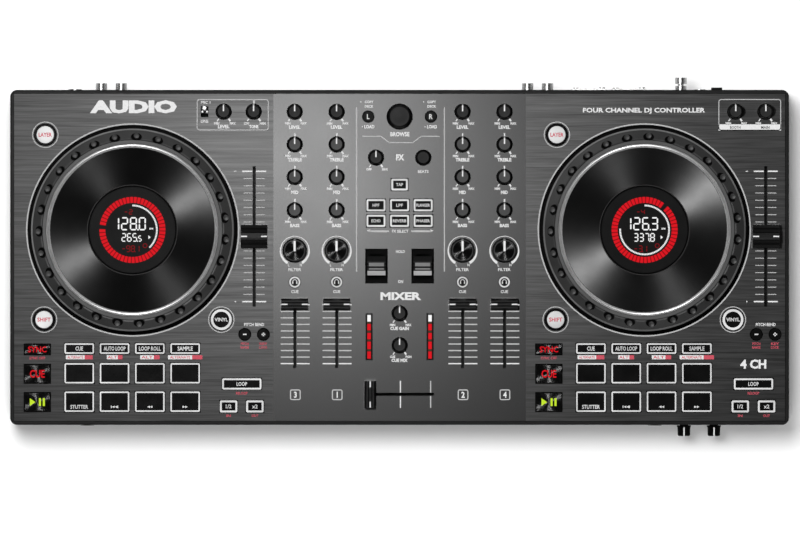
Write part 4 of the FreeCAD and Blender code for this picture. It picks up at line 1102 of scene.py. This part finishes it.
def well_shade():
    """Black trays under the effect paddles, and black rings in the gaps round the wheels: painted shade in
    these hollows.
    """
    floor = node_box("mixer_panel").low.z
    for side in DECKS:
        box = node_box(f"{side}_effect_paddle")
        outer, inner, hole = (rounded(box.x, box.y - 0.1, *size) for size in (
            (16.0, 24.7, 0.4), (15.2, 23.9, 0.3), (8.8, 16.8, 0.3)))
        # Painted shade: a black tray laid in the well under the paddle.
        shade_tray = Pieces(f"{side}_paddle_well_shade", "case", "hollow_shade_black")
        shade_tray.band(outer, inner, PANEL - 1.9, PANEL - 0.05)
        shade_tray.band(inner, hole, floor + 0.02, floor + 0.15)
        shade_tray.finish()
        wheel = node_box(f"{side}_jog_wheel")
        outside = wheel.width / 2 + JOG_GAP
        # Painted shade: a black ring laid in the gap round the wheel.
        turned(f"{side}_jog_gap_shade", "case", "hollow_shade_black", wheel.x, wheel.y,
               [(outside - 0.1, floor + 0.02), (outside, PANEL - 0.3), (outside - 0.15, PANEL - 0.2),
                (outside - 0.3, floor + 0.2), (outside - 2.4, floor + 0.15), (outside - 2.4, floor + 0.02)])


# ---- stage

def aim(thing, azimuth, elevation, distance):
    """Put a lamp at an azimuth from +X and a height angle, pointing at the middle of the case."""
    angle = math.radians(azimuth)
    rise = math.radians(elevation)
    thing.location = Vector((math.cos(rise) * math.cos(angle), math.cos(rise) * math.sin(angle),
                             math.sin(rise))) * distance
    thing.rotation_euler = thing.location.to_track_quat("Z", "Y").to_euler()


def lamp(name, kind, energy, **settings):
    data = bpy.data.lights.new(name, kind)
    data.energy = energy
    for setting, value in settings.items():
        setattr(data, setting, value)
    thing = bpy.data.objects.new(name, data)
    thing.visible_camera = False
    bpy.context.scene.collection.objects.link(thing)
    return thing


def shine_on(thing, subjects, only=True):
    """Flag a lamp so that it reaches only these subjects, or all but these."""
    group = bpy.data.collections.new(thing.name + "_subjects")
    for subject in subjects:
        group.objects.link(subject)
    if not only:
        for item in group.collection_objects:
            item.light_linking.link_state = "EXCLUDE"
    thing.light_linking.receiver_collection = group


def made_of(*names):
    materials = [M[name] for name in names]
    return [thing for thing in bpy.context.scene.objects
            if thing.type == "MESH" and thing.data.materials[0] in materials]


def stage():
    bpy.ops.mesh.primitive_plane_add(size=8)
    floor = bpy.context.object
    floor.name = "floor"
    made = Shader("floor_paint", grey(0.9), 0.8)
    made.tint(made.noise(0.002, 2), grey(0.88), grey(0.92))
    floor.data.materials.append(M["floor_paint"])


def seams():
    """Filler strips between the mixer panel and the deck panels."""
    mixer = node_box("mixer_panel")
    strips = Pieces("panel_seams", "case", "mixer_panel")
    for left, right in ((node_box("left_deck_panel").high.x, mixer.low.x),
                        (mixer.high.x, node_box("right_deck_panel").low.x)):
        strips.prism(rounded((left + right) / 2, mixer.y, right - left + 0.1, mixer.depth, 0.04),
                     mixer.low.z + 0.1, PANEL + 0.01)
    strips.finish()


def studio_walls():
    """Pale walls round a dark ceiling."""
    world = bpy.data.worlds.new("studio")
    bpy.context.scene.world = world
    world.use_nodes = True
    nodes = world.node_tree.nodes
    link = world.node_tree.links.new
    source, split, height = (nodes.new("ShaderNode" + kind)
                             for kind in ("TexCoord", "SeparateXYZ", "MapRange"))
    for socket, value in (("From Min", 0.25), ("From Max", 0.85), ("To Min", 0.75), ("To Max", 0.012)):
        height.inputs[socket].default_value = value
    link(source.outputs["Generated"], split.inputs["Vector"])
    link(split.outputs["Z"], height.inputs["Value"])
    link(height.outputs["Result"], nodes["Background"].inputs["Strength"])
    nodes["Background"].inputs["Color"].default_value = (1, 1, 1, 1)


def lights():
    """Soft key and fill for plastics and floor, and lamps of their own for metals and print."""
    discs = made_of("disc_spun")
    faces = made_of("face_spun")
    trims = made_of("trim_silver")
    panels = made_of("deck_panel", "mixer_panel")
    prints = made_of("print_white", "print_grey", "print_red", "print_black")
    for name, energy, size, azimuth, elevation, distance in (
            ("key", 48, 1.2, 119, 70, 2.0), ("fill", 13, 1.2, 280, 60, 2.2)):
        thing = lamp(name, "AREA", energy, shape="DISK", size=size)
        aim(thing, azimuth, elevation, distance)
        shine_on(thing, discs + faces + trims + panels + prints, only=False)
    overhead = lamp("overhead", "AREA", 0.72, shape="DISK", size=0.1)
    overhead.location = (-0.08, 0.09, 1.5)
    shine_on(overhead, panels)
    for name, azimuth, elevation, energy, subjects in (
            ("disc_fan", 31, 77, 0.42, discs), ("low_disc_fan", 300, 77, 0.08, discs),
            ("face_fan", 31, 77, 0.17, faces), ("low_face_fan", 277, 77, 0.16, faces),
            ("trim_fan", 98, 77, 0.7, trims), ("trim_top", 98, 89, 0.03, trims),
            ("print_light", 98, 89.9, 3.4, prints)):
        sun = lamp(name, "SUN", energy, angle=math.radians(4))
        aim(sun, azimuth, elevation, 3.0)
        shine_on(sun, subjects)


CAMERA_HEIGHT = 9.492


def camera():
    """Straight down from far above, so that hardly any of a side shows."""
    lens = bpy.data.cameras.new("camera")
    lens.lens = 600
    lens.sensor_width = 36
    view = bpy.data.objects.new("camera", lens)
    view.location = (0.0003, -0.0065, PANEL * MM + CAMERA_HEIGHT)
    bpy.context.scene.collection.objects.link(view)
    bpy.context.scene.camera = view
    bpy.context.scene.view_settings.view_transform = "Standard"


def main():
    dress_frame()
    windows = solids_of("displays_and_meters")
    posts = [box for box in windows if box.width > 30]
    meters = [box for box in windows if box.width < 30]
    for side, post in zip(DECKS, left_to_right(posts)):
        jog_wheel(side)
        shade_dimples(side)
        display(side, post)
        deck_print(side)
        pad_caps(side)
        deck_caps(side)
        paddle(side)
        fader(f"{side}_pitch_fader", along_x=True)
    for side, box in zip(DECKS, left_to_right(meters)):
        level_meter(f"{side}_meter", box)
    for node in KNOB_NODES:
        knob(node)
    for strip in STRIPS:
        fader(f"{strip}_fader", along_x=True)
    fader("crossfader", along_x=False)
    mixer_print()
    mixer_caps()
    well_shade()
    seams()
    stage()
    studio_walls()
    lights()
    camera()


main()
